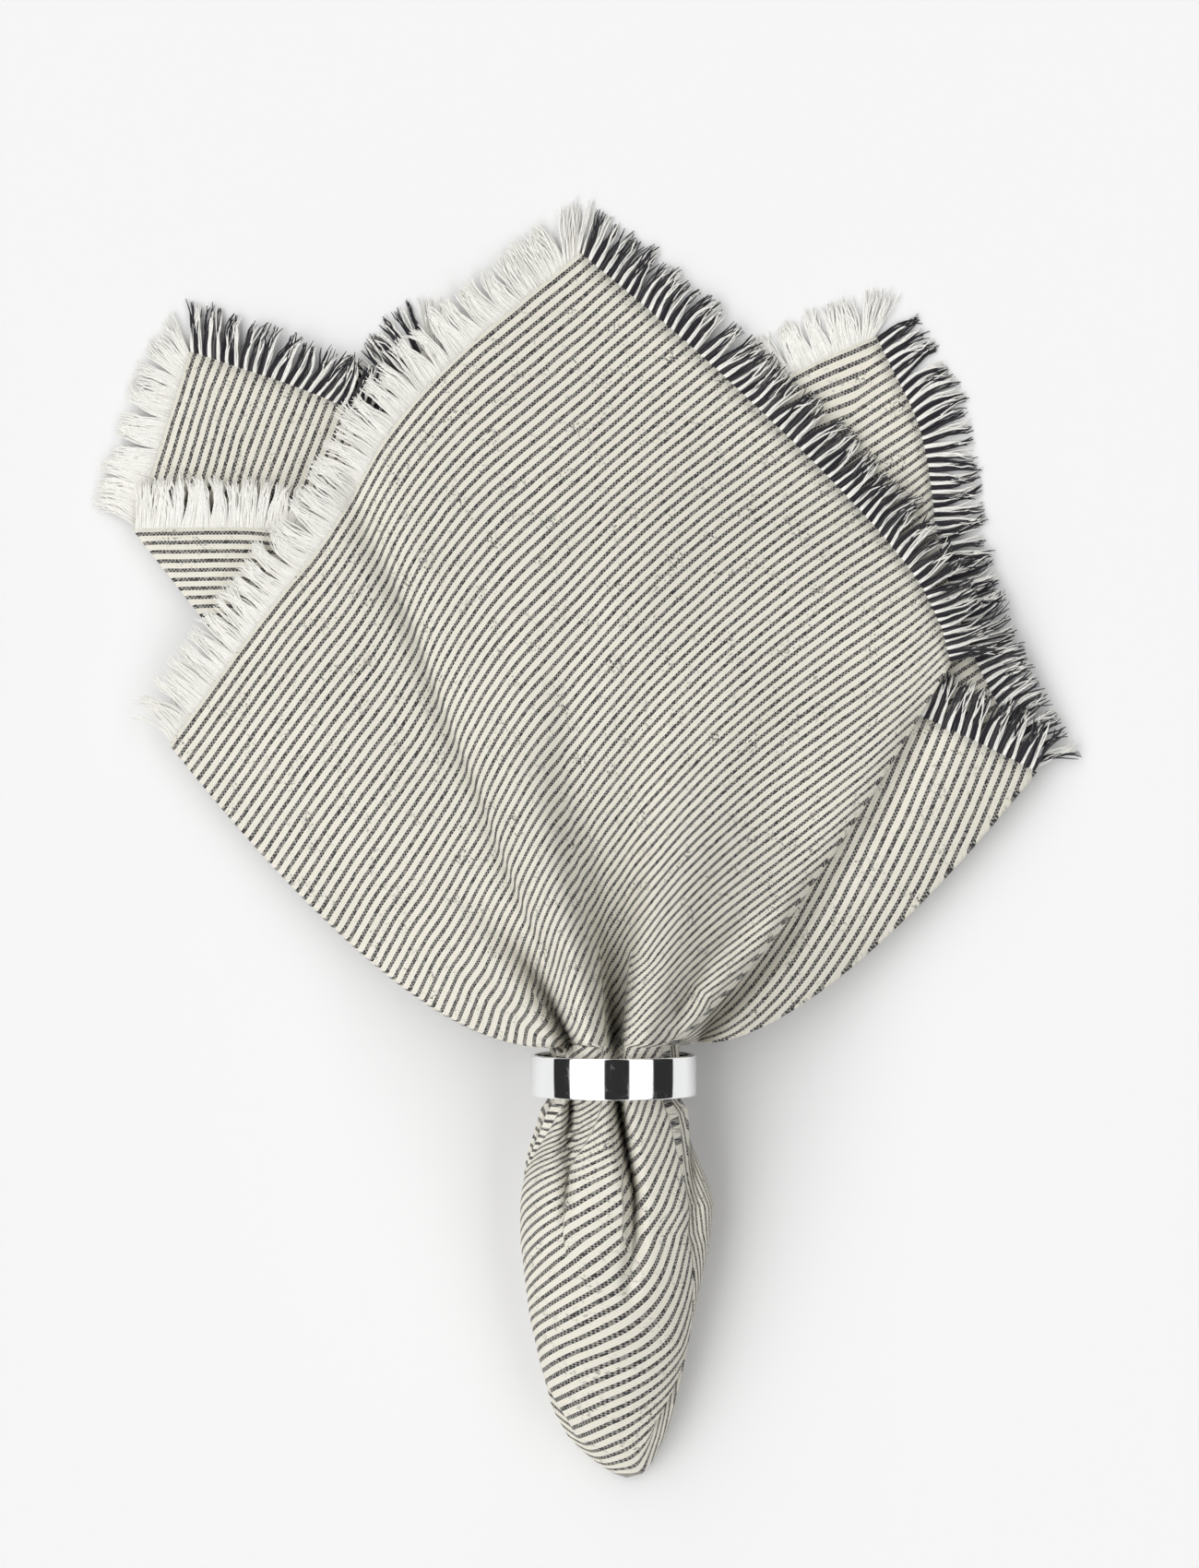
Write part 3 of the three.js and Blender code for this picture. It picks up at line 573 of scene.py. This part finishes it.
before, after = (whole_rays(rays, rays[key], True) for key in ("level", "next"))
turned = ((1 - np.cos(rays["turn"])) / 2)[..., None]
sheet_points = before + turned * (after - before)
swing = np.minimum(np.abs(before[..., 2] - after[..., 2]) / 2, SWING_MOST)
swing = swing * np.sin(rays["turn"]) * rays["side"]
ahead = ease(sheet_points[..., 1], MOUTH_Y, MOUTH_Y + FOLD_LEAN_REACH)
lean = ahead * (np.arctan2(rays["y"] - MOUTH_Y, rays["x"]) - np.pi / 2)
sheet_points[..., 0] += swing * np.cos(lean)
sheet_points[..., 1] += swing * np.sin(lean)
print("sheet grid:", sheet_points.shape[:2])

# %% [markdown]
# The stripes need every point's place on the flat square. It is found by walking back from the hem
# along each ray: cloth does not stretch, so the length walked over the fan is the length on the flat
# square. What is left over at the ring is spread along the ray. The walk feels only a fifth of each
# crease, because creases run along the rays and so take cloth from the sides. Unwrapping the finished
# mesh would be quicker, but it would not know how the square was folded.

# %% Places on the flat square
PINCH = (-25.0, -15.0)
CREASE_FELT = 0.2
HALF_DIAGONAL = NAPKIN_SIDE / np.sqrt(2)


def hem_on_flat(hem):
    """Where a hem place lies on the flat square: x towards the front corner, y towards the left one."""
    corner = np.array([(1, 0), (0, 1), (-1, 0), (0, -1), (1, 0)]) * HALF_DIAGONAL
    round_hem = np.mod(hem, 4)
    return np.stack([np.interp(round_hem, np.arange(5), corner[:, axis]) for axis in (0, 1)], axis=-1)


even_points = whole_rays(rays, rays["level"], False, CREASE_FELT)
walked = np.linalg.norm(np.diff(even_points, axis=1), axis=-1)
fan_start = TAIL_STEPS - 1
from_tip = np.concatenate([[0], np.cumsum(walked[:, :fan_start].mean(axis=0))])
from_hem = np.concatenate([np.cumsum(walked[:, fan_start:][:, ::-1], axis=1)[:, ::-1],
                           np.zeros((len(walked), 1))], axis=1)
flat_ray = hem_on_flat(rays["hem"][:, 0]) - PINCH
flat_length = np.linalg.norm(flat_ray, axis=1)[:, None]
missing = from_tip[-1] - (flat_length - from_hem[:, :1])
fan_radius = flat_length - from_hem + missing * (from_hem / from_hem[:, :1])**2
tail_radius = np.broadcast_to(from_tip[:-1], (len(walked), fan_start))
flat_radius = np.concatenate([tail_radius, fan_radius], axis=1)
flat_place = PINCH + flat_ray[:, None, :] * (flat_radius / flat_length)[..., None]
print("tail on the flat, mm:", round(from_tip[-1], 1),
      "spread over the fan, mm:", np.round([missing.min(), missing.max()], 1))

# %% [markdown]
# The cloth is a plain weave. Two charcoal warp yarns and three cream ones repeat across it, and the
# weft is cream, so a dark stripe reads as two rows of dark dots in zigzag. Colour and relief come
# from the same two yarn counters, which are worked out from the flat place kept in the UV map, so the
# stripes bend with the folds. The colour is also darkened where the yarns dip, as painted shade
# between them. The counters are one node group, and its sockets name what the weave needs: a flat
# place, two pitches, two colours and the strength of its stray dark flecks.

# %% Weave as a node group
YARN_PITCH = 0.000494
WEFT_PITCH = 0.00046
YARNS_IN_STRIPE = 2
YARNS_IN_REPEAT = 5
EDGE_YARNS = 2
CREAM = (0.885, 0.85, 0.75)
CHARCOAL = (0.018, 0.016, 0.022)


def new_group(name, inputs, outputs):
    """An empty shader node group with its sockets, and its input and output nodes."""
    group = bpy.data.node_groups.new(name, "ShaderNodeTree")
    for label, kind, value in inputs:
        socket = group.interface.new_socket(name=label, in_out="INPUT", socket_type=kind)
        if value is not None:
            socket.default_value = value
    for label, kind in outputs:
        group.interface.new_socket(name=label, in_out="OUTPUT", socket_type=kind)
    return group, group.nodes.new("NodeGroupInput").outputs, group.nodes.new("NodeGroupOutput")


weave, given, result = new_group(
    "striped_weave",
    [("Flat Place", "NodeSocketVector", None), ("Warp Pitch", "NodeSocketFloat", YARN_PITCH),
     ("Weft Pitch", "NodeSocketFloat", WEFT_PITCH),
     ("Light", "NodeSocketColor", (*CREAM, 1)), ("Dark", "NodeSocketColor", (*CHARCOAL, 1)),
     ("Slub", "NodeSocketFloat", 0.9)],
    [("Color", "NodeSocketColor"), ("Height", "NodeSocketFloat")])
flat = add(weave, "ShaderNodeSeparateXYZ", {0: given["Flat Place"]})
wander = add(weave, "ShaderNodeTexNoise", {"Vector": given["Flat Place"], "Scale": 95.0, "Detail": 2.0})
drift = math(weave, "MULTIPLY", math(weave, "SUBTRACT", wander.outputs["Fac"], 0.5), 0.9)
weft_count = math(weave, "ADD", math(weave, "DIVIDE", flat.outputs[0], given["Weft Pitch"]), drift)
warp_count = math(weave, "ADD", math(weave, "DIVIDE", flat.outputs[1], given["Warp Pitch"]), drift)
weft_number, warp_number = (math(weave, "FLOOR", count) for count in (weft_count, warp_count))
both = math(weave, "ADD", weft_number, warp_number)
warp_up = math(weave, "LESS_THAN", math(weave, "FLOORED_MODULO", both, 2.0), 0.5)
stripe_count = math(weave, "SUBTRACT", warp_number, float(EDGE_YARNS))
in_stripe = math(weave, "LESS_THAN", math(weave, "FLOORED_MODULO", stripe_count, float(YARNS_IN_REPEAT)),
                 float(YARNS_IN_STRIPE))


def across_yarn(tree, count):
    """Height over one yarn: 1 at its middle and 0 between it and the next, as 1 - (2 f - 1)^2."""
    centred = math(tree, "SUBTRACT", math(tree, "MULTIPLY", math(tree, "FRACT", count), 2.0), 1.0)
    return math(tree, "SUBTRACT", 1.0, math(tree, "MULTIPLY", centred, centred))


warp_height, weft_height = across_yarn(weave, warp_count), across_yarn(weave, weft_count)
own = math(weave, "ADD", math(weave, "MULTIPLY", warp_up, warp_height),
           math(weave, "MULTIPLY", math(weave, "SUBTRACT", 1.0, warp_up), weft_height))
height = math(weave, "MULTIPLY", own, math(weave, "ADD", 0.55, math(weave, "MULTIPLY",
              math(weave, "MULTIPLY", warp_height, weft_height), 0.45)))
patches = add(weave, "ShaderNodeTexNoise", {"Vector": given["Flat Place"], "Scale": 160.0, "Detail": 3.0})
patch = add(weave, "ShaderNodeMapRange", {0: patches.outputs["Fac"], 1: 0.52, 2: 0.7}).outputs[0]
cell = add(weave, "ShaderNodeCombineXYZ", {0: weft_number, 1: warp_number}).outputs[0]
luck = add(weave, "ShaderNodeTexWhiteNoise", {"Vector": cell}, noise_dimensions="2D").outputs["Value"]
stray = add(weave, "ShaderNodeMapRange", {0: luck, 1: 0.7, 2: 1.0}).outputs[0]
slub = math(weave, "MULTIPLY", patch, stray)
under = math(weave, "ADD", 0.56, math(weave, "MULTIPLY", stray, 0.4))
over = math(weave, "SUBTRACT", 0.98, math(weave, "MULTIPLY", stray, 0.3))
shown = add(weave, "ShaderNodeMapRange", {0: warp_up, 3: under, 4: over}).outputs[0]
dark_share = math(weave, "MULTIPLY", shown, in_stripe)
dark_share = math(weave, "MAXIMUM", dark_share, math(weave, "MULTIPLY", slub, given["Slub"]))
yarns = blend(weave, dark_share, given["Light"], given["Dark"])
# Painted shade: the yarn colour is darkened where the yarns dip low between one another, from 0.78 to 1.
shade = add(weave, "ShaderNodeMapRange", {0: height, 1: 0.0, 2: 0.6, 3: 0.78, 4: 1.0}).outputs[0]
toned = add(weave, "ShaderNodeVectorMath", {0: yarns, "Scale": shade}, operation="SCALE").outputs[0]
fill(weave, result, {"Color": toned, "Height": height})
print("weave group:", len(weave.nodes), "nodes,", round(YARNS_IN_REPEAT * YARN_PITCH / MM, 2),
      "mm from stripe to stripe")

# %% [markdown]
# The napkin's material is dull cotton: the woven colours, darkened and lightened a little in broad
# patches as handling leaves them, and a fine relief from the same yarn heights. An image of the cloth
# could give the same colours, but it would not stay sharp at every distance, as the counters do.

# %% The napkin's material
BUMP_HEIGHT = 0.00009
cloth_finish, tree, shader = new_material("striped_cotton", CREAM, 0.92)
flat_map = add(tree, "ShaderNodeUVMap", uv_map="flat_cloth")
woven = add(tree, "ShaderNodeGroup", node_tree=weave)
fill(tree, woven, {"Flat Place": flat_map.outputs[0]})
soil = add(tree, "ShaderNodeTexNoise", {"Vector": flat_map.outputs[0], "Scale": 22.0, "Detail": 3.0})
tint = add(tree, "ShaderNodeMapRange", {0: soil.outputs["Fac"], 1: 0.3, 2: 0.7, 3: 0.93, 4: 1.0}).outputs[0]
fill(tree, shader, {
    "Base Color": add(tree, "ShaderNodeVectorMath", {0: woven.outputs["Color"], "Scale": tint},
                      operation="SCALE").outputs[0],
    "Normal": add(tree, "ShaderNodeBump", {"Height": woven.outputs["Height"], "Distance": BUMP_HEIGHT,
                                           "Strength": 0.7}).outputs[0],
    "Sheen Weight": 0.15, "Sheen Roughness": 0.5, "Specular IOR Level": 0.2})

# %% [markdown]
# The grid becomes one mesh, closed by a fan of triangles at the tail's tip. Each corner of a face gets
# its place on the flat square, in metres, as its UV place. The mesh has no thickness yet: a modifier
# adds it, half to each side, which is simpler and evener than a second skin computed by hand.

# %% The napkin, its flat places and its thickness
ray_count, station_count = sheet_points.shape[:2]
tip_point = np.array([[(tail["left"][0] + tail["right"][0]) / 2, TAIL_TIP_Y,
                       sheet_points[:, 0, 2].mean()]])
index = np.arange(ray_count * station_count).reshape(ray_count, station_count)
here, beside = index, np.roll(index, -1, axis=0)
quads = np.stack([here[:, :-1], beside[:, :-1], beside[:, 1:], here[:, 1:]], axis=-1).reshape(-1, 4)
tip_faces = np.column_stack([beside[:, 0], here[:, 0], np.full(ray_count, index.size)])
napkin = link_mesh("napkin_cloth", to_frame(np.vstack([sheet_points.reshape(-1, 3), tip_point])),
                   [quads, tip_faces], cloth_finish)
half_side = NAPKIN_SIDE / 2
flat_all = np.vstack([flat_place.reshape(-1, 2), PINCH])
places = np.column_stack([half_side + (flat_all[:, 1] - flat_all[:, 0]) / np.sqrt(2),
                          half_side - (flat_all[:, 0] + flat_all[:, 1]) / np.sqrt(2)]) * MM
loop_points = np.empty(len(napkin.data.loops), np.int32)
napkin.data.loops.foreach_get("vertex_index", loop_points)
flat_layer = napkin.data.uv_layers.new(name="flat_cloth")
flat_layer.data.foreach_set("uv", places[loop_points].astype(np.float32).ravel())
thicken = napkin.modifiers.new("thickness", "SOLIDIFY")
thicken.thickness = SHEET * MM
thicken.offset = 0.0
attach(napkin, "root")
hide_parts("napkin")
print("napkin faces:", len(napkin.data.polygons), "triangles when thick:", 4 * len(napkin.data.polygons))

# %% [markdown]
# The band is a plain ring with softened edges: one small profile carried round a circle. A mirror shows
# every facet, so the circle has many steps, and the profile's corners are true quarter rounds.

# %% The polished band
BAND_WALL = 1.2
EDGE_ROUND = 0.4
BAND_STEPS = 192
ROUND_STEPS = 5

quarter = np.linspace(0, np.pi / 2, ROUND_STEPS)
inset = np.array([(BAND_WALL / 2 - EDGE_ROUND, RING_BAND / 2 - EDGE_ROUND)])
rounded = inset + EDGE_ROUND * np.column_stack([np.cos(quarter), np.sin(quarter)])
profile = np.vstack([rounded, rounded[::-1] * (-1, 1), rounded * (-1, -1), rounded[::-1] * (1, -1)])
turns = np.linspace(0, 2 * np.pi, BAND_STEPS, endpoint=False)[:, None]
radius = RING_RADIUS - BAND_WALL / 2 + profile[:, 0]
band_points = np.stack([radius * np.sin(turns), np.broadcast_to(profile[:, 1], (BAND_STEPS, len(profile))),
                        radius * np.cos(turns)], axis=-1)
band_points[..., 2] += ring_middle[2] / MM
index = np.arange(band_points[..., 0].size).reshape(BAND_STEPS, len(profile))
onward, upward = np.roll(index, -1, axis=0), np.roll(index, -1, axis=1)
band_faces = np.stack([index, upward, np.roll(onward, -1, axis=1), onward], axis=-1).reshape(-1, 4)

chrome, tree, shader = new_material("polished_band", (0.9, 0.905, 0.91), 0.06, 1.0)
place = add(tree, "ShaderNodeTexCoord").outputs["Object"]
grain = add(tree, "ShaderNodeMapping", {"Vector": place, "Scale": (220.0, 2400.0, 220.0)})
lines = add(tree, "ShaderNodeTexNoise", {"Vector": grain.outputs[0], "Scale": 1.0, "Detail": 2.0})
smudge = add(tree, "ShaderNodeTexNoise", {"Vector": place, "Scale": 140.0, "Detail": 3.0})
wear = add(tree, "ShaderNodeTexVoronoi", {"Vector": place, "Scale": 420.0}, feature="DISTANCE_TO_EDGE")
scratch = add(tree, "ShaderNodeMapRange", {0: wear.outputs["Distance"], 1: 0.0, 2: 0.02, 3: 1.0, 4: 0.0})
faint = math(tree, "MULTIPLY", scratch.outputs[0],
             add(tree, "ShaderNodeMapRange", {0: smudge.outputs["Fac"], 1: 0.5, 2: 0.62}).outputs[0])
rough = add(tree, "ShaderNodeMapRange", {0: smudge.outputs["Fac"], 1: 0.3, 2: 0.7, 3: 0.035, 4: 0.09})
fill(tree, shader, {
    "Roughness": math(tree, "ADD", rough.outputs[0], math(tree, "MULTIPLY", faint, 0.25)),
    "Normal": add(tree, "ShaderNodeBump", {"Height": math(tree, "ADD", lines.outputs["Fac"], faint),
                                           "Distance": 0.000004, "Strength": 0.35}).outputs[0]})
band = link_mesh("band_ring", to_frame(band_points.reshape(-1, 3)), [band_faces], chrome)
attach(band, "root")
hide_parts("ring")
print("band faces:", len(band_faces))

# %% [markdown]
# Along every hem the outer yarns are drawn out, and the loose ends stand as a fringe. Weft ends are all
# cream. Of every five warp ends three are charcoal, one more than in the cloth, because the photographed
# fringe is that much darker. The ends keep step with the stripes. Hair curves would be quick, but they
# are not solid, so each yarn end becomes a thin tube. First come the places where the ends stand.

# %% Where the yarn ends stand
TUFT_YARNS = 5
ROWS_OF_YARN = (2, 3)
HIDDEN_SHARE = 3
HIDDEN_RUNS = {"left_under", "back_left_under", "back_right_under", "right_under"}
DARK_ENDS = YARNS_IN_STRIPE + 1


def hem_sides(run):
    """The stretches of a layer's hem on each side of the napkin, and whether it is a cream side."""
    first, last = run["table"]["hem"][[0, -1]]
    stops = np.concatenate([[first], np.arange(np.ceil(first), last), [last]])
    return [(low, high, int(np.floor((low + high) / 2)) % 2 == 0) for low, high in zip(stops, stops[1:])]


def yarn_roots(run, low, high, cream):
    """Hem places of a stretch's yarn ends, rows, roots, and the ways along the hem and out of it."""
    pitch = YARN_PITCH / MM / NAPKIN_SIDE
    rows = ROWS_OF_YARN[cream]
    if run["name"] in HIDDEN_RUNS:
        pitch, rows = pitch * HIDDEN_SHARE, 1
    hem = np.arange(low + FOLD_WIDTH / 3, high - FOLD_WIDTH / 3, pitch / rows)
    roots = fan_points(rays_at(run, hem), run["level"], 1.0)
    along = np.gradient(roots, axis=0)[:, :2]
    along /= np.linalg.norm(along, axis=1, keepdims=True)
    out = np.column_stack([along[:, 1], -along[:, 0]])
    out *= np.sign((out * (roots[:, :2] - (0, MOUTH_Y))).sum(axis=1, keepdims=True))
    return hem, rows, roots, along, out


def yarn_tufts(hem, rows, cream):
    """Each end's tuft, its way to the tuft's middle in mm, and 1 where the end is charcoal."""
    number = np.arange(len(hem))
    from_corner = np.where(hem < 1, -hem, np.where(hem < 2, hem - 1, 4 - hem)) * NAPKIN_SIDE
    warp_number = np.floor(from_corner * MM / YARN_PITCH) - EDGE_YARNS
    tuft = (number // rows // TUFT_YARNS) if cream else warp_number // YARNS_IN_REPEAT
    tuft = np.unique(tuft, return_inverse=True)[1]
    middle = np.bincount(tuft, number) / np.bincount(tuft)
    charcoal = (np.mod(warp_number, YARNS_IN_REPEAT) < DARK_ENDS) * (0.0 if cream else 1.0)
    return tuft, (middle[tuft] - number) / rows * YARN_PITCH / MM, charcoal


print("stretches of fringe:", sum(len(hem_sides(run)) for run in RUNS), "yarn ends in the front's first:",
      len(yarn_roots(RUNS[0], *hem_sides(RUNS[0])[0])[0]))

# %% [markdown]
# Each end bends a little in its own way and leans towards the middle of its tuft, and the stretch sways
# as a whole. At a corner of the napkin the ends splay out. The tubes have four sides, and all of them
# are computed at once as one array: yarn by step by corner. A loop over the yarns would read more
# simply, but it would be much slower.

# %% Yarn ends as arrays
YARN_RADIUS = 0.29
YARN_STEPS = 8
YARN_SIDES = 4
LENGTH_SHARE, LENGTH_SPREAD = 1.03, 0.05
TUFT_LEAN, YARN_LEAN = 0.12, 0.07
TUFT_PULL = (0.45, 0.3)
CURL_SIZE, CURL_BENDS = (0.15, 0.5), (7, 14)
SWAY, SWAY_REACHES, SWAY_BEND = 1.7, (9, 23), 2.6
CORNER_REACH = 6.0
CORNER_SPLAY = (0.45, 1.0)
TUCKED_IN = 0.8
RISE_MOST, ROW_RISE, ROOM_BETWEEN = 0.9, 0.22, 0.5
HEM_EASE = 4
THICK_STOPS, THICK_SHARES = [0, 0.1, 0.8, 1], [0.6, 1, 0.85, 0.4]
THICK_RANGE = (0.8, 1.15)
TONE_SPREAD = 0.03
chance = np.random.default_rng(7)
step = np.linspace(0, 1, YARN_STEPS)[None, :]


def random_column(count, low, high):
    """A column of random numbers between low and high, one for each yarn end."""
    return chance.uniform(low, high, (count, 1))


def yarn_paths(hem, low, high, tuft, pull, cream):
    """How far each step of each yarn end lies out of the hem and along it, in mm."""
    count = len(hem)
    tuft_lean = chance.normal(0, TUFT_LEAN, tuft.max() + 1)[tuft]
    tuft_length = chance.normal(LENGTH_SHARE, LENGTH_SPREAD, tuft.max() + 1)[tuft]
    length = FRINGE * (tuft_length + chance.normal(0, LENGTH_SPREAD, count))
    to_corner = (np.exp((hem - high) * NAPKIN_SIDE / CORNER_REACH) * (high % 1 == 0)
                 - np.exp((low - hem) * NAPKIN_SIDE / CORNER_REACH) * (low % 1 == 0))
    sway = SWAY * np.sin(hem * NAPKIN_SIDE / SWAY_REACHES[0] + chance.uniform(0, 6))
    sway = sway * np.sin(hem * NAPKIN_SIDE / SWAY_REACHES[1])
    lean = (tuft_lean + chance.normal(0, YARN_LEAN, count))[:, None]
    curl = random_column(count, *CURL_SIZE)
    curl = curl * np.sin(random_column(count, *CURL_BENDS) * step + random_column(count, 0, 6.3)) * step
    ahead = (length[:, None] + TUCKED_IN) * step - TUCKED_IN
    splay = (CORNER_SPLAY[cream] * to_corner)[:, None]
    aside = (ahead * np.tan(lean) * step + pull[:, None] * TUFT_PULL[cream] * step + curl
             + sway[:, None] * np.sin(SWAY_BEND * step) + ahead * np.sin(splay))
    return ahead * np.cos(splay), aside


def yarn_heights(run, rows, start, x, y, ahead):
    """Heights of the steps: from the hem down or up to the stack's own height there, plus a small rise."""
    rest = press(x, y, stack_height(run["level"], x, y))
    row = (np.arange(len(x)) % rows)[:, None]
    rise = random_column(len(x), 0, RISE_MOST) * np.sin(np.pi * step) + ROW_RISE * row * step**0.5
    rise = rise if run["name"] == "front" else np.minimum(rise, ROOM_BETWEEN)
    return np.maximum(start + (rest - start) * ease(ahead, 0, HEM_EASE) + rise, YARN_RADIUS)


def yarn_ends(run, low, high, cream):
    """Points (yarn, step, corner, xyz) of a stretch of fringe, and how charcoal each yarn is."""
    hem, rows, roots, along, out = yarn_roots(run, low, high, cream)
    tuft, pull, charcoal = yarn_tufts(hem, rows, cream)
    count = len(hem)
    ahead, aside = yarn_paths(hem, low, high, tuft, pull, cream)
    x = roots[:, :1] + out[:, :1] * ahead + along[:, :1] * aside
    y = roots[:, 1:2] + out[:, 1:] * ahead + along[:, 1:] * aside
    spine = np.stack([x, y, yarn_heights(run, rows, roots[:, 2:3], x, y, ahead)], axis=-1)
    thick = YARN_RADIUS * np.interp(step, THICK_STOPS, THICK_SHARES)
    thick = thick * random_column(count, *THICK_RANGE)
    turn = np.arange(YARN_SIDES) * 2 * np.pi / YARN_SIDES + random_column(count, 0, 1.5)
    across = np.stack([along[:, 0], along[:, 1], np.zeros(count)], axis=-1)[:, None, None, :]
    ring_way = (np.cos(turn)[:, None, :, None] * across
                + np.sin(turn)[:, None, :, None] * np.array([0, 0, 1.0]))
    points = spine[:, :, None, :] + thick[:, :, None, None] * ring_way
    return points, np.clip(charcoal + chance.normal(0, TONE_SPREAD, count), 0, 1)


def tube_faces(count):
    """Faces of many closed tubes: the side quads and the two ends of each."""
    base = (np.arange(count) * YARN_STEPS * YARN_SIDES)[:, None, None]
    step, side = np.meshgrid(np.arange(YARN_STEPS - 1), np.arange(YARN_SIDES), indexing="ij")
    a = base + step * YARN_SIDES + side
    b = base + step * YARN_SIDES + (side + 1) % YARN_SIDES
    sides = np.stack([a, b, b + YARN_SIDES, a + YARN_SIDES], axis=-1).reshape(-1, 4)
    first = base[:, 0] + np.arange(YARN_SIDES)[::-1]
    last = base[:, 0] + (YARN_STEPS - 1) * YARN_SIDES + np.arange(YARN_SIDES)
    return np.vstack([sides, first, last])


def flip_inward(points, faces):
    """Turn the faces round where the mesh's signed volume shows that they point inwards."""
    a, b, c = (points[faces[:, k]] for k in (0, 1, 2))
    d = points[faces[:, 3]]
    volume = (np.cross(a, b) * c).sum() + (np.cross(a, c) * d).sum()
    return faces if volume > 0 else faces[:, ::-1]


# %% [markdown]
# One material serves all yarn ends. An attribute on the mesh says how charcoal each yarn is, so that
# dark and cream yarns can stand side by side in one piece. A separate object for each yarn would be
# easier to colour, but a few thousand objects are slow, so each stretch of fringe is one object.

# %% The fringe's material and pieces
YARN_CREAM = (0.965, 0.95, 0.9)
yarn_finish, tree, shader = new_material("soft_yarn", YARN_CREAM, 0.95)
charcoal_share = add(tree, "ShaderNodeAttribute", attribute_name="charcoal").outputs["Fac"]
fuzz = add(tree, "ShaderNodeTexNoise", {"Vector": add(tree, "ShaderNodeTexCoord").outputs["Object"],
                                        "Scale": 2600.0, "Detail": 2.0})
toned = blend(tree, charcoal_share, (*YARN_CREAM, 1), (*CHARCOAL, 1))
shade = add(tree, "ShaderNodeMapRange", {0: fuzz.outputs["Fac"], 1: 0.3, 2: 0.7, 3: 0.86, 4: 1.0})
fill(tree, shader, {
    "Base Color": add(tree, "ShaderNodeVectorMath", {0: toned, "Scale": shade.outputs[0]},
                      operation="SCALE").outputs[0],
    "Normal": add(tree, "ShaderNodeBump", {"Height": fuzz.outputs["Fac"], "Distance": 0.0001,
                                           "Strength": 0.5}).outputs[0],
    "Sheen Weight": 0.3, "Sheen Roughness": 0.5, "Specular IOR Level": 0.15})

for run in RUNS:
    for low, high, cream in hem_sides(run):
        tone = "cream" if cream else "dark"
        points, charcoal = yarn_ends(run, low, high, cream)
        flat_points = points.reshape(-1, 3)
        faces = flip_inward(flat_points, tube_faces(len(points)))
        piece = link_mesh(f"yarns_{run['name']}_{tone}", to_frame(flat_points), [faces], yarn_finish)
        layer = piece.data.attributes.new("charcoal", "FLOAT", "POINT")
        layer.data.foreach_set("value", np.repeat(charcoal, YARN_STEPS * YARN_SIDES).astype(np.float32))
        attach(piece, "root")
        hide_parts(f"fringe_{run['name']}_{tone}")
        print(piece.name, "yarns:", len(points), "triangles:", 2 * len(faces))
